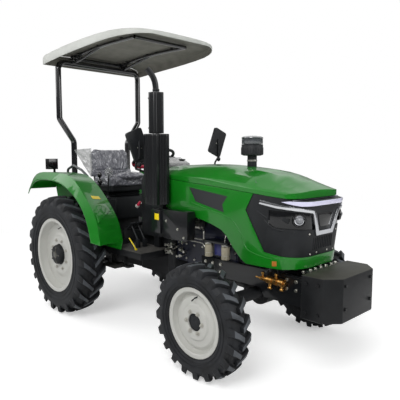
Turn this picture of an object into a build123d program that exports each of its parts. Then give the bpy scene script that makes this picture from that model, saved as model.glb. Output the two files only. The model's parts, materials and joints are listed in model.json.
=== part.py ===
"""Compact four-wheel-drive farm tractor with a sunshade canopy, built as separate named pieces.

Sizes are millimetres. X is forward, Y is to the driver's left and Z is up. Stations along X are measured
from the rear axle while a piece is made; export() then shifts them all by ORIGIN_X, so that the origin
lies on the ground, midway between the foremost and the rearmost point of the machine.

Wheels, front axle and steering are drawn above the ground. All that the rear axle carries is drawn above
the body's own base line, which lies BODY_BASE below the rear axle's centre; export() sets it on the axle.
"""
import math
import os
from build123d import *

# ---------------------------------------------------------------- driving dimensions
WHEELBASE = 1750.0
REAR_TRACK = 1260.0
FRONT_TRACK = 1270.0
FRONT_OVERHANG = 446.0        # front axle to the back of the front plate
FRONT_PLATE = 16.0
WEIGHT_GAP = 33.0             # front plate to the weight box, bridged by its hanger
WEIGHT_DEPTH = 237.0
REAR_REACH = 800.0            # rear axle to the rearmost point of the lower links
PLATE_X = WHEELBASE + FRONT_OVERHANG
WEIGHT_BACK_X = PLATE_X + FRONT_PLATE + WEIGHT_GAP
FRONT_REACH = WEIGHT_BACK_X + WEIGHT_DEPTH
ORIGIN_X = -(FRONT_REACH - REAR_REACH) / 2.0
SIDES = {"right": -1, "left": 1}
FAR = 3000.0                  # well past every piece, for cutting tools

# wheels
REAR_TYRE_R, REAR_TYRE_W = 520.0, 240.0
FRONT_TYRE_R, FRONT_TYRE_W = 365.0, 168.0
REAR_BEAD_R, FRONT_BEAD_R = 305.0, 203.0
REAR_RIM_W, FRONT_RIM_W = 210.0, 138.0
FLANGE_H = 19.0
RIM_WALL = 7.0
REAR_LUGS, FRONT_LUGS = 22, 20          # lugs on each half of the tread
REAR_LUG_H, FRONT_LUG_H = 30.0, 25.0

REAR_DISC_Y, FRONT_DISC_Y = 50.0, 50.0   # outer face of the disc, outboard of the wheel's middle plane
FRONT_BOLT_R = 69.85
REAR_SPINDLE_R, FRONT_SPINDLE_R = 40.0, 28.0
REAR_HUB_IN_Y, FRONT_HUB_IN_Y = -60.0, -30.0
PIN_FIT = 0.3                 # gap all round a turning pin
OPEN_FIT = 1.5                # gap all round a pin where a closed linkage is opened

# body heights are measured from the body's base line
BODY_BASE = 520.0             # rear axle's centre above the body's base line
AXLE_Z = BODY_BASE
LIFT = REAR_TYRE_R - BODY_BASE          # base line above the ground
# nodes drawn above the ground, by how their names begin
ON_WHEELS = ("front_axle", "front_tyre", "front_wheel", "rear_", "knuckle", "tie_rod")

# platform, fenders and the operator's station
PLATFORM_Z = 620.0
PLATE = 5.0
PLATFORM_REAR_X, PLATFORM_FRONT_X = 230.0, 900.0
FENDER_IN_Y = REAR_TRACK / 2 - REAR_TYRE_W / 2 - 40.0
PLATFORM_HALF_W = FENDER_IN_Y - 10.0
FENDER_EDGE_Y = REAR_TRACK / 2 + 92.0
FENDER_OUT_Y = FENDER_EDGE_Y + 30.0
FENDER_WALL = 4.0
FENDER_LIP = [(-452, 1040), (-395, 1112), (-256, 1178), (-30, 1186), (185, 1167), (338, 1107), (466, 1033),
              (556, 943), (613, 844), (653, 720)]
FENDER_EDGE = [(-457, 1085), (-400, 1178), (-262, 1239), (0, 1246), (250, 1234), (388, 1180), (511, 1083),
               (629, 979), (705, 852), (738, 706)]
FENDER_INNER = [(-457, 1085), (-395, 1174), (-255, 1232), (-30, 1234), (150, 1214), (300, 1142), (441, 1034),
                (546, 935), (617, 841), (668, 703)]
STEP_Z = 440.0
STEER_TOP = (490.0, 0.0, 1365.0)
STEER_DIR = Vector(-0.42, 0, 0.9075)
STEER_WHEEL_R = 185.0
EXHAUST_X, EXHAUST_Y, EXHAUST_R = 1014.0, -385.0, 22.5
CONSOLE_X0, CONSOLE_HALF_W = 580.0, 215.0
GUARDS = [
    # half width, foot z, top z
    (75.0, 1025.0, 1556.0),
    (44.0, 1561.0, 1865.0),
]
MIRRORS = [(865.0, -450.0, 1475.0), (848.0, 450.0, 1511.0)]      # x, y, z of each head's middle
SEAT_Z = 1105.0               # underside of the seat cushion
LEVERS = [
    # x, top z, y
    (30.0, 1200.0, 290.0),
    (100.0, 1140.0, 330.0),
    (215.0, 1235.0, 310.0),
]

# roll-over frame and canopy
ROPS_X = -360.0
ROPS_HALF_W = 460.0
ROPS_LOW_HALF_W = 315.0
ROPS_TUBE_R = 27.0
ROPS_TOP_Z = 2272.0
CANOPY_SECTIONS = [
    # x, half width, edge z, top z
    (-472.0, 548.0, 2250.0, 2362.0),
    (-440.0, 558.0, 2250.0, 2372.0),
    (-100.0, 565.0, 2271.0, 2391.0),
    (300.0, 560.0, 2290.0, 2398.0),
    (600.0, 532.0, 2307.0, 2396.0),
    (760.0, 465.0, 2320.0, 2388.0),
    (840.0, 380.0, 2330.0, 2378.0),
    (874.0, 295.0, 2336.0, 2370.0),
]
CANOPY_PROFILE = [
    # share of the half width, share of the height from the edge to the top
    (1.0, 0.0), (1.0, 0.50), (0.98, 0.68), (0.90, 0.81), (0.68, 0.92), (0.34, 0.98),
]
CANOPY_WALL = 6.0
CANOPY_FRAME_Y, CANOPY_TUBE_R = 280.0, 14.0
CANOPY_FRAME = [(-420.0, 2334.0), (-150.0, 2358.0), (60.0, 2365.0), (250.0, 2369.0), (610.0, 2359.0)]  # x, z

# bonnet
HOOD_REAR_X = 905.0
HOOD_WALL = 4.0
HOOD_HINGE_X, HOOD_HINGE_Z = 915.0, 1250.0
STACK_X, STACK_R = 1630.0, 34.0
# outlines on the machine's side, (x, z)
SIDE_FRAME = [(1062, 1260), (1050, 1120), (1007, 997), (1080, 971), (1277, 958), (1500, 913), (1599, 881),
              (1647, 845), (1704, 775), (1778, 705), (1820, 682), (2100, 686), (2300, 706), (2300, 1260)]
WINDOW = [(1272, 1162), (1655, 1119), (1608, 1060), (1622, 1005), (1337, 1061)]
WINDOW_BACK = [(1255, 1178), (1680, 1130), (1630, 1062), (1645, 990), (1325, 1046)]
NOSE_OUTLINE = [(1882, 1160), (1814, 1040), (1966, 782), (2090, 769), (2300, 766), (2300, 1160)]
NOSE_BACK = [(1866, 1160), (1797, 1040), (1956, 767), (2090, 754), (2300, 751), (2300, 1160)]
LIGHT_BAR = [(2095, 1112), (2160, 1099), (2215, 1089), (2300, 1085), (2300, 1113), (2200, 1119), (2150, 1119)]
TRIM_WING = [(1932, 1090), (1940, 1114), (2090, 1093), (2225, 1080), (2225, 1061), (2060, 1072)]
# outlines on the machine's front, right half, (y, z)
LAMP = [(104, 936), (288, 946), (288, 1056), (150, 1036)]
TRIM_V_IN = [(262, 1080), (142, 1062), (122, 1046), (72, 927)]
TRIM_V_OUT = [(96, 899), (148, 1036), (160, 1045), (262, 1062)]
LAMP_LENS = (2199.0, 236.0, 1003.0, 36.0)       # x, y, z, radius

# chassis
FRAME_RAIL_Y = 186.0
FRAME_Z0, FRAME_Z1 = 510.0, 640.0
GEARBOX_HALF_W = 135.0
TRUMPET_R = 62.0
WEIGHT_HALF_W, WEIGHT_Z0, WEIGHT_Z1 = 275.0, 415.0, 685.0
WEIGHT_CORNER = 90.0
KINGPIN_Y = 452.0
KINGPIN_R = 16.0
FRONT_AXLE_Z = 430.0
STEER_ARM = 150.0
STEER_ARM_Z = 344.0
PTO_Z, PTO_R = 545.0, 17.5
FILTER_X, FILTER_Y = (1425.0, 1590.0), -232.0
DRAWBAR_X = -420.0
LINK_PIVOT_X, LINK_PIVOT_Z, LINK_PIVOT_Y = -70.0, 370.0, 175.0
LINK_END_X, LINK_END_Z, LINK_END_Y = -766.0, 330.0, 355.0
LINK_PIN_R = 11.0
HITCH_BALL_R = 11.05
LIFT_ARM = 290.0
LIFT_PIVOT_X, LIFT_PIVOT_Z = -165.0, 840.0
TOP_LINK_X, TOP_LINK_Z = -264.0, 752.0
TOP_LINK_L, TOP_LINK_DEG = 470.0, 38.0      # length, and droop below the horizontal when it is stowed

parts = {}


def add(name, *solids):
    """Keeps one named node made of one or more solids."""
    parts[name] = solids[0] if len(solids) == 1 else Compound(children=list(solids))


def block(x0, x1, y0, y1, z0, z1, fillet_r=0.0):
    """A box between two corners, with its upright edges rounded when fillet_r is given."""
    solid = Pos((x0 + x1) / 2, (y0 + y1) / 2, (z0 + z1) / 2) * Box(abs(x1 - x0), abs(y1 - y0), abs(z1 - z0))
    if fillet_r:
        solid = fillet(solid.edges().filter_by(Axis.Z), fillet_r)
    return solid


def rod(start, end, radius, bore=0.0):
    """A straight round bar between two points, or a tube when a bore radius is given."""
    a, b = Vector(*start), Vector(*end)
    plane = Plane(origin=a, z_dir=(b - a))
    section = Circle(radius) - Circle(bore) if bore else Circle(radius)
    return extrude(plane * section, (b - a).length)


def bent_tube(points, bend_r, radius):
    """A round tube along straight runs joined by tangent bends."""
    path = FilletPolyline(*points, radius=bend_r)
    start = path @ 0
    return sweep(Plane(origin=start, z_dir=path % 0) * Circle(radius), path=path)


def side_extrude(points, y0, y1):
    """An outline in the X-Z plane carried from y0 to y1."""
    face = make_face(Plane.XZ * Polyline(*points, close=True))
    return Pos(0, y1, 0) * extrude(face, y1 - y0, dir=(0, -1, 0))


def up_extrude(points, z0, z1):
    """An outline in the X-Y plane carried from z0 to z1."""
    face = make_face(Plane.XY.offset(z0) * Polyline(*points, close=True))
    return extrude(face, z1 - z0, dir=(0, 0, 1))


def front_extrude(points, x0, x1):
    """An outline in the Y-Z plane carried from x0 to x1."""
    face = make_face(Plane.YZ.offset(x0) * Polyline(*points, close=True))
    return extrude(face, x1 - x0, dir=(1, 0, 0))


def across(points):
    """Cutting body from a closed outline of (x, z) points, well past both sides of the machine."""
    return side_extrude(points, -FAR, FAR)


def mirror_y(solid):
    """The same piece on the other side of the machine."""
    return mirror(solid, Plane.XZ)


def smooth(rows, steps):
    """Rows with steps - 1 more between each pair, on a smooth curve through the given ones."""
    out = []
    for k in range(len(rows) - 1):
        a, b, c, d = rows[max(k - 1, 0)], rows[k], rows[k + 1], rows[min(k + 2, len(rows) - 1)]
        for n in range(steps):
            t = n / steps
            wa, wd = -t / 2 + t * t - t ** 3 / 2, (t ** 3 - t * t) / 2
            wb, wc = 1 - 2.5 * t * t + 1.5 * t ** 3, t / 2 + 2 * t * t - 1.5 * t ** 3
            out.append(tuple(wa * p + wb * q + wc * r + wd * s for p, q, r, s in zip(a, b, c, d)))
    return out + [tuple(rows[-1])]


def corner_plan(rear_x, start_x, reach, half, power, steps=7):
    """Right half of a plan: a straight side from rear_x to start_x, then a rounded front corner."""
    plan = [(rear_x, half)]
    for k in range(steps):
        t = math.radians(90.0 * k / steps)
        plan.append((start_x + reach * math.sin(t) ** (2 / power), half * math.cos(t) ** (2 / power)))
    return plan


# ---------------------------------------------------------------- wheels
def ring_point(radius, y, angle):
    """A point on a circle about the Y axis, its angle measured from the top toward the front."""
    return Vector(radius * math.sin(angle), y, radius * math.cos(angle))


def tyre(radius, width, bead_r, rim_w, lug_h, lugs):
    """Agricultural drive tyre about the Y axis, in flat facets: two rows of angled lugs on a filled carcass.

    Each lug starts at the middle of the tread, which leads as the wheel rolls forward, and runs back to
    the shoulder. The rows are half a pitch apart.
    """
    pitch = 2 * math.pi / lugs
    thick = pitch * 0.30
    half = width * 0.43
    slant = -half * 0.95 / radius
    crown_r = radius - lug_h
    shoulder_r = crown_r - lug_h * 0.75
    lug_end_r = radius - lug_h * 0.35
    belly_r = (bead_r * 0.45 + crown_r * 0.55)
    half_bead = rim_w / 2 - RIM_WALL - 0.5
    faces = []

    def strip(a, b):
        """Two triangles between two edges given as (first point, second point)."""
        faces.append(Face(Wire.make_polygon([a[0], a[1], b[1]])))
        faces.append(Face(Wire.make_polygon([a[0], b[1], b[0]])))

    for side in (-1, 1):
        lead = 0.0 if side < 0 else pitch / 2
        turn = (thick - pitch / 2) / 2 + slant
        for k in range(lugs):
            t0 = lead + k * pitch
            t1, t2, t3, t4 = t0 + thick, t0 + pitch / 2, t0 + pitch / 2 + thick, t0 + pitch
            mid = [ring_point(crown_r, 0, t) for t in (t0, t1, t2, t3, t4)]
            top_mid = [ring_point(radius, 0, t) for t in (t0, t1)]
            edge = [ring_point(shoulder_r, side * half, t + slant) for t in (t0, t1, t4)]
            top_edge = [ring_point(lug_end_r, side * half, t + slant) for t in (t0, t1)]
            belly = [ring_point(belly_r, side * width / 2, t + slant) for t in (t0, t1, t4)]
            foot_t = [t0 + turn + n * pitch / 2 for n in (0, 1, 2)]
            foot = [ring_point(bead_r + FLANGE_H + 3, side * half_bead, t) for t in foot_t]
            bead = [ring_point(bead_r, side * half_bead, t) for t in foot_t]
            inner = [ring_point(bead_r, 0, t) for t in foot_t]
            strip(top_mid, top_edge)
            strip(mid[0:2], top_mid)
            strip((mid[0], edge[0]), (top_mid[0], top_edge[0]))
            strip((mid[1], edge[1]), (top_mid[1], top_edge[1]))
            strip(edge[0:2], top_edge)
            faces.append(Face(Wire.make_polygon([mid[1], mid[2], edge[1]])))
            faces.append(Face(Wire.make_polygon([mid[2], mid[3], edge[1]])))
            faces.append(Face(Wire.make_polygon([mid[3], edge[2], edge[1]])))
            faces.append(Face(Wire.make_polygon([mid[3], mid[4], edge[2]])))
            for n in (0, 1):
                strip(edge[n:n + 2], belly[n:n + 2])
                strip(belly[n:n + 2], foot[n:n + 2])
                strip(foot[n:n + 2], bead[n:n + 2])
                strip(bead[n:n + 2], inner[n:n + 2])
    return Solid(Shell(faces))


def rim(bead_r, rim_w, disc_y, disc_r, hole_r, bolt_r, bolts):
    """Pressed wheel: a barrel with two flanges and a dished disc, about the Y axis."""
    w = rim_w / 2
    barrel_r = bead_r - 7.0
    outline = [
        (-w, barrel_r - RIM_WALL), (w, barrel_r - RIM_WALL), (w, bead_r + FLANGE_H),
        (w - RIM_WALL, bead_r + FLANGE_H), (w - RIM_WALL, barrel_r), (RIM_WALL - w, barrel_r),
        (RIM_WALL - w, bead_r + FLANGE_H), (-w, bead_r + FLANGE_H),
    ]
    barrel = revolve(make_face(Plane.YZ * Polyline(*outline, close=True)), Axis.Y)
    disc_outline = [
        (disc_y - 5, hole_r), (disc_y + 3, hole_r), (disc_y + 3, disc_r * 0.62),
        (disc_y - 14, disc_r * 0.90), (disc_y - 14, barrel_r - RIM_WALL + 0.5),
        (disc_y - 22, barrel_r - RIM_WALL + 0.5), (disc_y - 22, disc_r * 0.88), (disc_y - 5, disc_r * 0.60),
    ]
    disc = revolve(make_face(Plane.YZ * Polyline(*disc_outline, close=True)), Axis.Y)
    solid = barrel + disc
    for k in range(bolts):
        a = 2 * math.pi * (k + 0.5) / bolts
        y0, y1 = (disc_y - 20, disc_y + 20)
        hole = rod((bolt_r * math.sin(a), y0, bolt_r * math.cos(a)),
                   (bolt_r * math.sin(a), y1, bolt_r * math.cos(a)), 8.0)
        solid = solid - hole
    return solid


def hub(disc_y, flange_r, nose_r, nose_y, spindle_r, in_y, bolt_r, bolts):
    """Hub behind the wheel disc, with its wheel bolts and a nose through the disc's middle hole."""
    back_y = disc_y - 5
    solid = rod((0, back_y - 16, 0), (0, back_y, 0), flange_r)
    solid = solid + rod((0, in_y, 0), (0, back_y - 8, 0), flange_r * 0.62)
    solid = solid + rod((0, back_y - 8, 0), (0, nose_y, 0), nose_r)
    solid = solid - rod((0, in_y - 1, 0), (0, back_y - 16, 0), spindle_r + PIN_FIT)
    for k in range(bolts):
        a = 2 * math.pi * (k + 0.5) / bolts
        x, z = bolt_r * math.sin(a), bolt_r * math.cos(a)
        solid = solid + rod((x, back_y - 4, z), (x, disc_y + 16, z), 7.5)
    return solid


def wheels():
    """Four tyres, pressed wheels and hubs; the wheel's outer side faces away from the machine."""
    table = [
        # name, x, track, radius, width, bead radius, rim width, lug height, lugs, disc y, disc r, hole r
        ("rear", 0.0, REAR_TRACK, REAR_TYRE_R, REAR_TYRE_W, REAR_BEAD_R, REAR_RIM_W, REAR_LUG_H, REAR_LUGS,
         REAR_DISC_Y, 278.0, 92.0),
        ("front", WHEELBASE, FRONT_TRACK, FRONT_TYRE_R, FRONT_TYRE_W, FRONT_BEAD_R, FRONT_RIM_W, FRONT_LUG_H,
         FRONT_LUGS, FRONT_DISC_Y, 180.0, 47.0),
    ]
    for axle, x, track, radius, width, bead_r, rim_w, lug_h, lugs, disc_y, disc_r, hole_r in table:
        tread = tyre(radius, width, bead_r, rim_w, lug_h, lugs)
        if axle == "rear":
            wheel = rim(bead_r, rim_w, disc_y, disc_r, hole_r, 130.0, 8)
            centre = hub(disc_y, 155.0, 84.0, 97.0, REAR_SPINDLE_R, REAR_HUB_IN_Y, 130.0, 8)
        else:
            wheel = rim(bead_r, rim_w, disc_y, disc_r, hole_r, FRONT_BOLT_R, 6)
            centre = hub(disc_y, 90.0, 44.0, 50.0, FRONT_SPINDLE_R, FRONT_HUB_IN_Y, FRONT_BOLT_R, 6)
        for side, sign in SIDES.items():
            place = Pos(x, sign * track / 2, radius)
            out = (lambda s: s) if sign > 0 else mirror_y
            add(f"{axle}_tyre_{side}", place * tread)
            add(f"{axle}_wheel_{side}", place * out(wheel + centre))


# ---------------------------------------------------------------- axles, steering and drive line
def rear_axle():
    """Axle trumpets from the gearbox out to the wheel hubs, ending in spindles."""
    solid = rod((0, -GEARBOX_HALF_W, AXLE_Z), (0, GEARBOX_HALF_W, AXLE_Z), TRUMPET_R)
    for sign in (-1, 1):
        y_hub = sign * (REAR_TRACK / 2 + REAR_HUB_IN_Y - 3)
        y_body = sign * GEARBOX_HALF_W
        tube = rod((0, y_body, AXLE_Z), (0, y_hub, AXLE_Z), TRUMPET_R)
        flange = rod((0, y_body, AXLE_Z), (0, y_body + sign * 26, AXLE_Z), 118.0)
        end = rod((0, y_hub - sign * 60, AXLE_Z), (0, y_hub, AXLE_Z), 84.0)
        spindle = rod((0, y_hub, AXLE_Z), (0, sign * (REAR_TRACK / 2 + 22), AXLE_Z), REAR_SPINDLE_R)
        solid = solid + tube + flange + end + spindle
    return solid


def front_axle():
    """Driving front axle: a beam with a differential bulge and a kingpin case at each end."""
    beam = rod((WHEELBASE, -KINGPIN_Y + 30, FRONT_AXLE_Z), (WHEELBASE, KINGPIN_Y - 30, FRONT_AXLE_Z), 44.0)
    bulge = rod((WHEELBASE, -60, FRONT_AXLE_Z), (WHEELBASE, 60, FRONT_AXLE_Z), 92.0)
    nose = rod((WHEELBASE - 150, 0, FRONT_AXLE_Z), (WHEELBASE, 0, FRONT_AXLE_Z), 46.0)
    solid = beam + bulge + nose
    for sign in (-1, 1):
        y = sign * KINGPIN_Y
        case = rod((WHEELBASE, y, FRONT_AXLE_Z - 45), (WHEELBASE, y, FRONT_AXLE_Z + 45),
                   42.0)
        bore = rod((WHEELBASE, sign * KINGPIN_Y, 0), (WHEELBASE, sign * KINGPIN_Y, 900), KINGPIN_R + PIN_FIT)
        solid = solid + case - bore
    for x in (WHEELBASE - 105, WHEELBASE + 75):
        solid = solid + block(x, x + 30, -34, 34, FRONT_AXLE_Z + 30, FRAME_Z0 + LIFT - 12)
    add("front_axle", solid)


def knuckles():
    """Steering knuckles: a fork round the kingpin case, the kingpin, a steering arm and the wheel spindle."""
    top, bottom = FRONT_AXLE_Z + 48, FRONT_AXLE_Z - 48
    for side, sign in SIDES.items():
        y, out = sign * KINGPIN_Y, sign
        pin = rod((WHEELBASE, y, bottom - 18), (WHEELBASE, y, top + 18), KINGPIN_R)
        upper = rod((WHEELBASE, y, top), (WHEELBASE, y, top + 18), 38.0)
        upper = upper + block(WHEELBASE - 38, WHEELBASE + 38, y, y + out * 76, top, top + 18)
        lower = rod((WHEELBASE, y, bottom - 18), (WHEELBASE, y, bottom), 38.0)
        lower = lower + block(WHEELBASE - 38, WHEELBASE + 38, y, y + out * 76, bottom - 18, bottom)
        web = block(WHEELBASE - 46, WHEELBASE + 46, y + out * 54, y + out * 98, FRONT_TYRE_R - 70, top + 18)
        drop = rod((WHEELBASE, y + out * 54, FRONT_TYRE_R), (WHEELBASE, y + out * 130, FRONT_TYRE_R), 80.0)
        spindle = rod((WHEELBASE, y + out * 130, FRONT_TYRE_R),
                      (WHEELBASE, sign * (FRONT_TRACK / 2 + 20), FRONT_TYRE_R), FRONT_SPINDLE_R)
        arm = block(WHEELBASE - STEER_ARM, WHEELBASE, y - 17, y + 17, bottom - 18, bottom)
        arm = arm + rod((WHEELBASE - STEER_ARM, y, bottom - 18), (WHEELBASE - STEER_ARM, y, bottom), 20.0)
        ball = rod((WHEELBASE - STEER_ARM, y, STEER_ARM_Z - 12), (WHEELBASE - STEER_ARM, y, bottom), 8.0)
        add(f"knuckle_{side}", pin + upper + lower + web + drop + spindle + arm + ball)


def tie_rod():
    """Tie rod with an eye round each steering arm's pin; the right-hand eye is the open one."""
    x = WHEELBASE - STEER_ARM
    bar = rod((x, -KINGPIN_Y + 14, STEER_ARM_Z), (x, KINGPIN_Y - 14, STEER_ARM_Z), 10.0)
    eyes = []
    for side, sign in SIDES.items():
        y = sign * KINGPIN_Y
        fit = PIN_FIT if side == "left" else OPEN_FIT
        eye = rod((x, y, STEER_ARM_Z - 11), (x, y, STEER_ARM_Z + 11), 19.0)
        hole = rod((x, y, STEER_ARM_Z - 30), (x, y, STEER_ARM_Z + 30), 8.0 + fit)
        eyes.append((eye, hole))
    solid = bar + eyes[0][0] + eyes[1][0] - eyes[0][1] - eyes[1][1]
    add("tie_rod", solid)


def drive_line():
    """Gearbox, clutch housing, shaft to the front axle, power take-off and drawbar."""
    gear = block(-190, 480, -GEARBOX_HALF_W, GEARBOX_HALF_W, 400, 690, 18)
    clutch = block(480, 900, -150, 150, 400, 720, 30)
    lift = block(-230, 90, -130, 130, 690, 800, 14)
    front = block(900, 990, -190, 190, 430, 830, 20)
    case = gear + clutch + lift + front + rear_axle()
    case = case - rod((-195, 0, PTO_Z), (-70, 0, PTO_Z), PTO_R + 6)
    case = case - rod((-70, 0, PTO_Z), (-40, 0, PTO_Z), PTO_R + PIN_FIT)
    guard = block(-330, -180, -62, 62, PTO_Z + 62, PTO_Z + 68)
    for sign in (-1, 1):
        guard = guard + block(-330, -180, sign * 56, sign * 62, PTO_Z - 20, PTO_Z + 68)
    add("gearbox_and_axle", case + guard + hitch_brackets())
    shaft = rod((-300, 0, PTO_Z), (-45, 0, PTO_Z), PTO_R)
    for k in range(6):
        a = math.radians(60 * k)
        y, z = (PTO_R + 1.5) * math.sin(a), PTO_Z + (PTO_R + 1.5) * math.cos(a)
        shaft = shaft - rod((-301, y, z), (-224, y, z), 4.2)
    add("pto_shaft", shaft)
    add("drive_shaft", rod((991.0, 0, 452), (WHEELBASE - 152, 0, FRONT_AXLE_Z - LIFT), 24.0))
    bar = block(DRAWBAR_X, 120, -38, 38, 300, 322, 0)
    bar = bar - rod((DRAWBAR_X + 38, 0, 290), (DRAWBAR_X + 38, 0, 330), 14.0)
    hanger = block(-110, -80, -52, 52, 321, 399.8) + block(60, 100, -52, 52, 321, 399.8)
    add("drawbar", bar + hanger)


def hitch_brackets():
    """Pins of the lower links, bearings of the lift shaft and the top link's bracket, all on the gearbox."""
    solid = block(-278, -225, -34, -22, 700, 730) + block(-278, -225, 22, 34, 700, 730)
    for sign in (-1, 1):
        y0 = sign * LINK_PIVOT_Y
        x, z = LINK_PIVOT_X, LINK_PIVOT_Z
        solid = solid + block(x - 34, x + 34, sign * 120, sign * 148, z - 34, 470)
        solid = solid + rod((x, sign * 140, z), (x, y0 + sign * 24, z),
                            LINK_PIN_R)
        tower = block(LIFT_PIVOT_X - 40, LIFT_PIVOT_X + 40, sign * 120, sign * 160, 700, LIFT_PIVOT_Z + 36)
        hole = rod((LIFT_PIVOT_X, sign * 100, LIFT_PIVOT_Z), (LIFT_PIVOT_X, sign * 200, LIFT_PIVOT_Z),
                   20.0 + PIN_FIT)
        solid = solid + tower - hole
        solid = solid + block(TOP_LINK_X - 28, -225, sign * 22, sign * 34, 700, 786)
    return solid + rod((TOP_LINK_X, -34, TOP_LINK_Z), (TOP_LINK_X, 34, TOP_LINK_Z), 9.5)


def hitch():
    """Three-point linkage: lower links, lift arms on a cross shaft, lift rods and the top link."""
    links, rods = [], []
    dx, dz = LINK_END_X - LINK_PIVOT_X, LINK_END_Z - LINK_PIVOT_Z
    length = math.hypot(dx, dz)
    share = LIFT_ARM / length
    bx, bz = LINK_PIVOT_X + dx * share, LINK_PIVOT_Z + dz * share
    cx, cz = LIFT_PIVOT_X + dx * share, LIFT_PIVOT_Z + dz * share
    by = LINK_PIVOT_Y + (LINK_END_Y - LINK_PIVOT_Y) * share
    shaft = rod((LIFT_PIVOT_X, -by - 6, LIFT_PIVOT_Z), (LIFT_PIVOT_X, by + 6, LIFT_PIVOT_Z), 20.0)
    arms = shaft
    for sign in (-1, 1):
        y0, y1, yb = sign * LINK_PIVOT_Y, sign * LINK_END_Y, sign * by
        bar = rod((LINK_PIVOT_X, y0, LINK_PIVOT_Z), (LINK_END_X, y1, LINK_END_Z), 15.0)
        front_eye = rod((LINK_PIVOT_X, y0 - 16, LINK_PIVOT_Z), (LINK_PIVOT_X, y0 + 16, LINK_PIVOT_Z), 30.0)
        rear_eye = rod((LINK_END_X, y1 - 17, LINK_END_Z), (LINK_END_X, y1 + 17, LINK_END_Z), 34.0)
        pin = rod((bx, yb, bz), (bx, yb - sign * 54, bz), 9.0)
        link = bar + front_eye + rear_eye + pin
        link = link - rod((LINK_PIVOT_X, y0 - 40, LINK_PIVOT_Z), (LINK_PIVOT_X, y0 + 40, LINK_PIVOT_Z),
                          LINK_PIN_R + PIN_FIT)
        link = link - rod((LINK_END_X, y1 - 40, LINK_END_Z), (LINK_END_X, y1 + 40, LINK_END_Z), HITCH_BALL_R)
        links.append(link)
        arm = block(0, LIFT_ARM, yb + sign * 4, yb + sign * 22, -20, 20)
        arm = arm + rod((LIFT_ARM, yb + sign * 4, 0), (LIFT_ARM, yb + sign * 22, 0), 24.0)
        arm = arm + rod((0, yb + sign * 4, 0), (0, yb + sign * 22, 0), 34.0)
        arm = arm + rod((LIFT_ARM, yb - sign * 54, 0), (LIFT_ARM, yb + sign * 4, 0), 9.0)
        tilt = math.degrees(math.atan2(dz, -dx))
        arms = arms + Pos(LIFT_PIVOT_X, 0, LIFT_PIVOT_Z) * Rot(0, 180 + tilt, 0) * arm
        yr = yb - sign * 35
        upright = rod((bx, yr, bz + 20), (cx, yr, cz - 16), 11.0)
        low_eye = rod((bx, yr - 9, bz), (bx, yr + 9, bz), 22.0)
        top_eye = rod((cx, yr - 9, cz), (cx, yr + 9, cz), 22.0)
        piece = upright + low_eye + top_eye
        piece = piece - rod((cx, yr - 20, cz), (cx, yr + 20, cz), 9.0 + PIN_FIT)
        rods.append(piece - rod((bx, yr - 20, bz), (bx, yr + 20, bz), 9.0 + OPEN_FIT))
    add("lower_links", *links)
    add("lift_arms", arms)
    add("lift_rods", *rods)
    back, down = math.cos(math.radians(TOP_LINK_DEG)), math.sin(math.radians(TOP_LINK_DEG))
    end_x, end_z = TOP_LINK_X - back * TOP_LINK_L, TOP_LINK_Z - down * TOP_LINK_L
    tube = rod((TOP_LINK_X - back * 18, 0, TOP_LINK_Z - down * 18), (end_x, 0, end_z), 14.0)
    eye = rod((TOP_LINK_X, -15, TOP_LINK_Z), (TOP_LINK_X, 15, TOP_LINK_Z), 26.0)
    far = rod((end_x, -18, end_z), (end_x, 18, end_z), 26.0)
    link = tube + eye + far - rod((TOP_LINK_X, -40, TOP_LINK_Z), (TOP_LINK_X, 40, TOP_LINK_Z), 9.5 + PIN_FIT)
    add("top_link", link - rod((end_x, -40, end_z), (end_x, 40, end_z), 9.7))


# ---------------------------------------------------------------- front frame and engine
def front_frame():
    """Two rails from the engine to the front plate, cross members, weight bracket and weight box."""
    low, plate_x1, gap_x1, y = FRAME_Z0 - 60, PLATE_X + FRONT_PLATE, WEIGHT_BACK_X - 0.5, FRAME_RAIL_Y
    frame = block(PLATE_X, plate_x1, -y, y, low, WEIGHT_Z1)
    frame = frame + block(PLATE_X, gap_x1, -y, y, WEIGHT_Z1 - 10, WEIGHT_Z1)
    rail = [(1300, FRAME_Z0), (WHEELBASE + 112, FRAME_Z0), (WHEELBASE + 150, low), (PLATE_X, low),
            (PLATE_X, FRAME_Z1), (1300, FRAME_Z1)]
    for sign in (-1, 1):
        y0, y1 = sorted((sign * (FRAME_RAIL_Y - 20.5), sign * FRAME_RAIL_Y))
        frame = frame + side_extrude(rail, y0, y1)
    for x in (WHEELBASE - 105, WHEELBASE + 75):
        frame = frame + block(x - 4, x + 34, 20 - y, y - 20, FRAME_Z0 - 12, FRAME_Z0 + 16)
    frame = frame + block(plate_x1 - 1, gap_x1, -120, 120, WEIGHT_Z0 + 75, WEIGHT_Z0 + 130)
    add("front_frame", frame)
    half, chamfer_x = WEIGHT_HALF_W, FRONT_REACH - WEIGHT_CORNER
    plan = [(WEIGHT_BACK_X, -half), (chamfer_x, -half), (FRONT_REACH, WEIGHT_CORNER - half),
            (FRONT_REACH, half - WEIGHT_CORNER), (chamfer_x, half), (WEIGHT_BACK_X, half)]
    box = up_extrude(plan, WEIGHT_Z0, WEIGHT_Z1)
    add("front_weight_box", chamfer(box.edges().group_by(Axis.Z)[0], 6.0))


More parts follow.
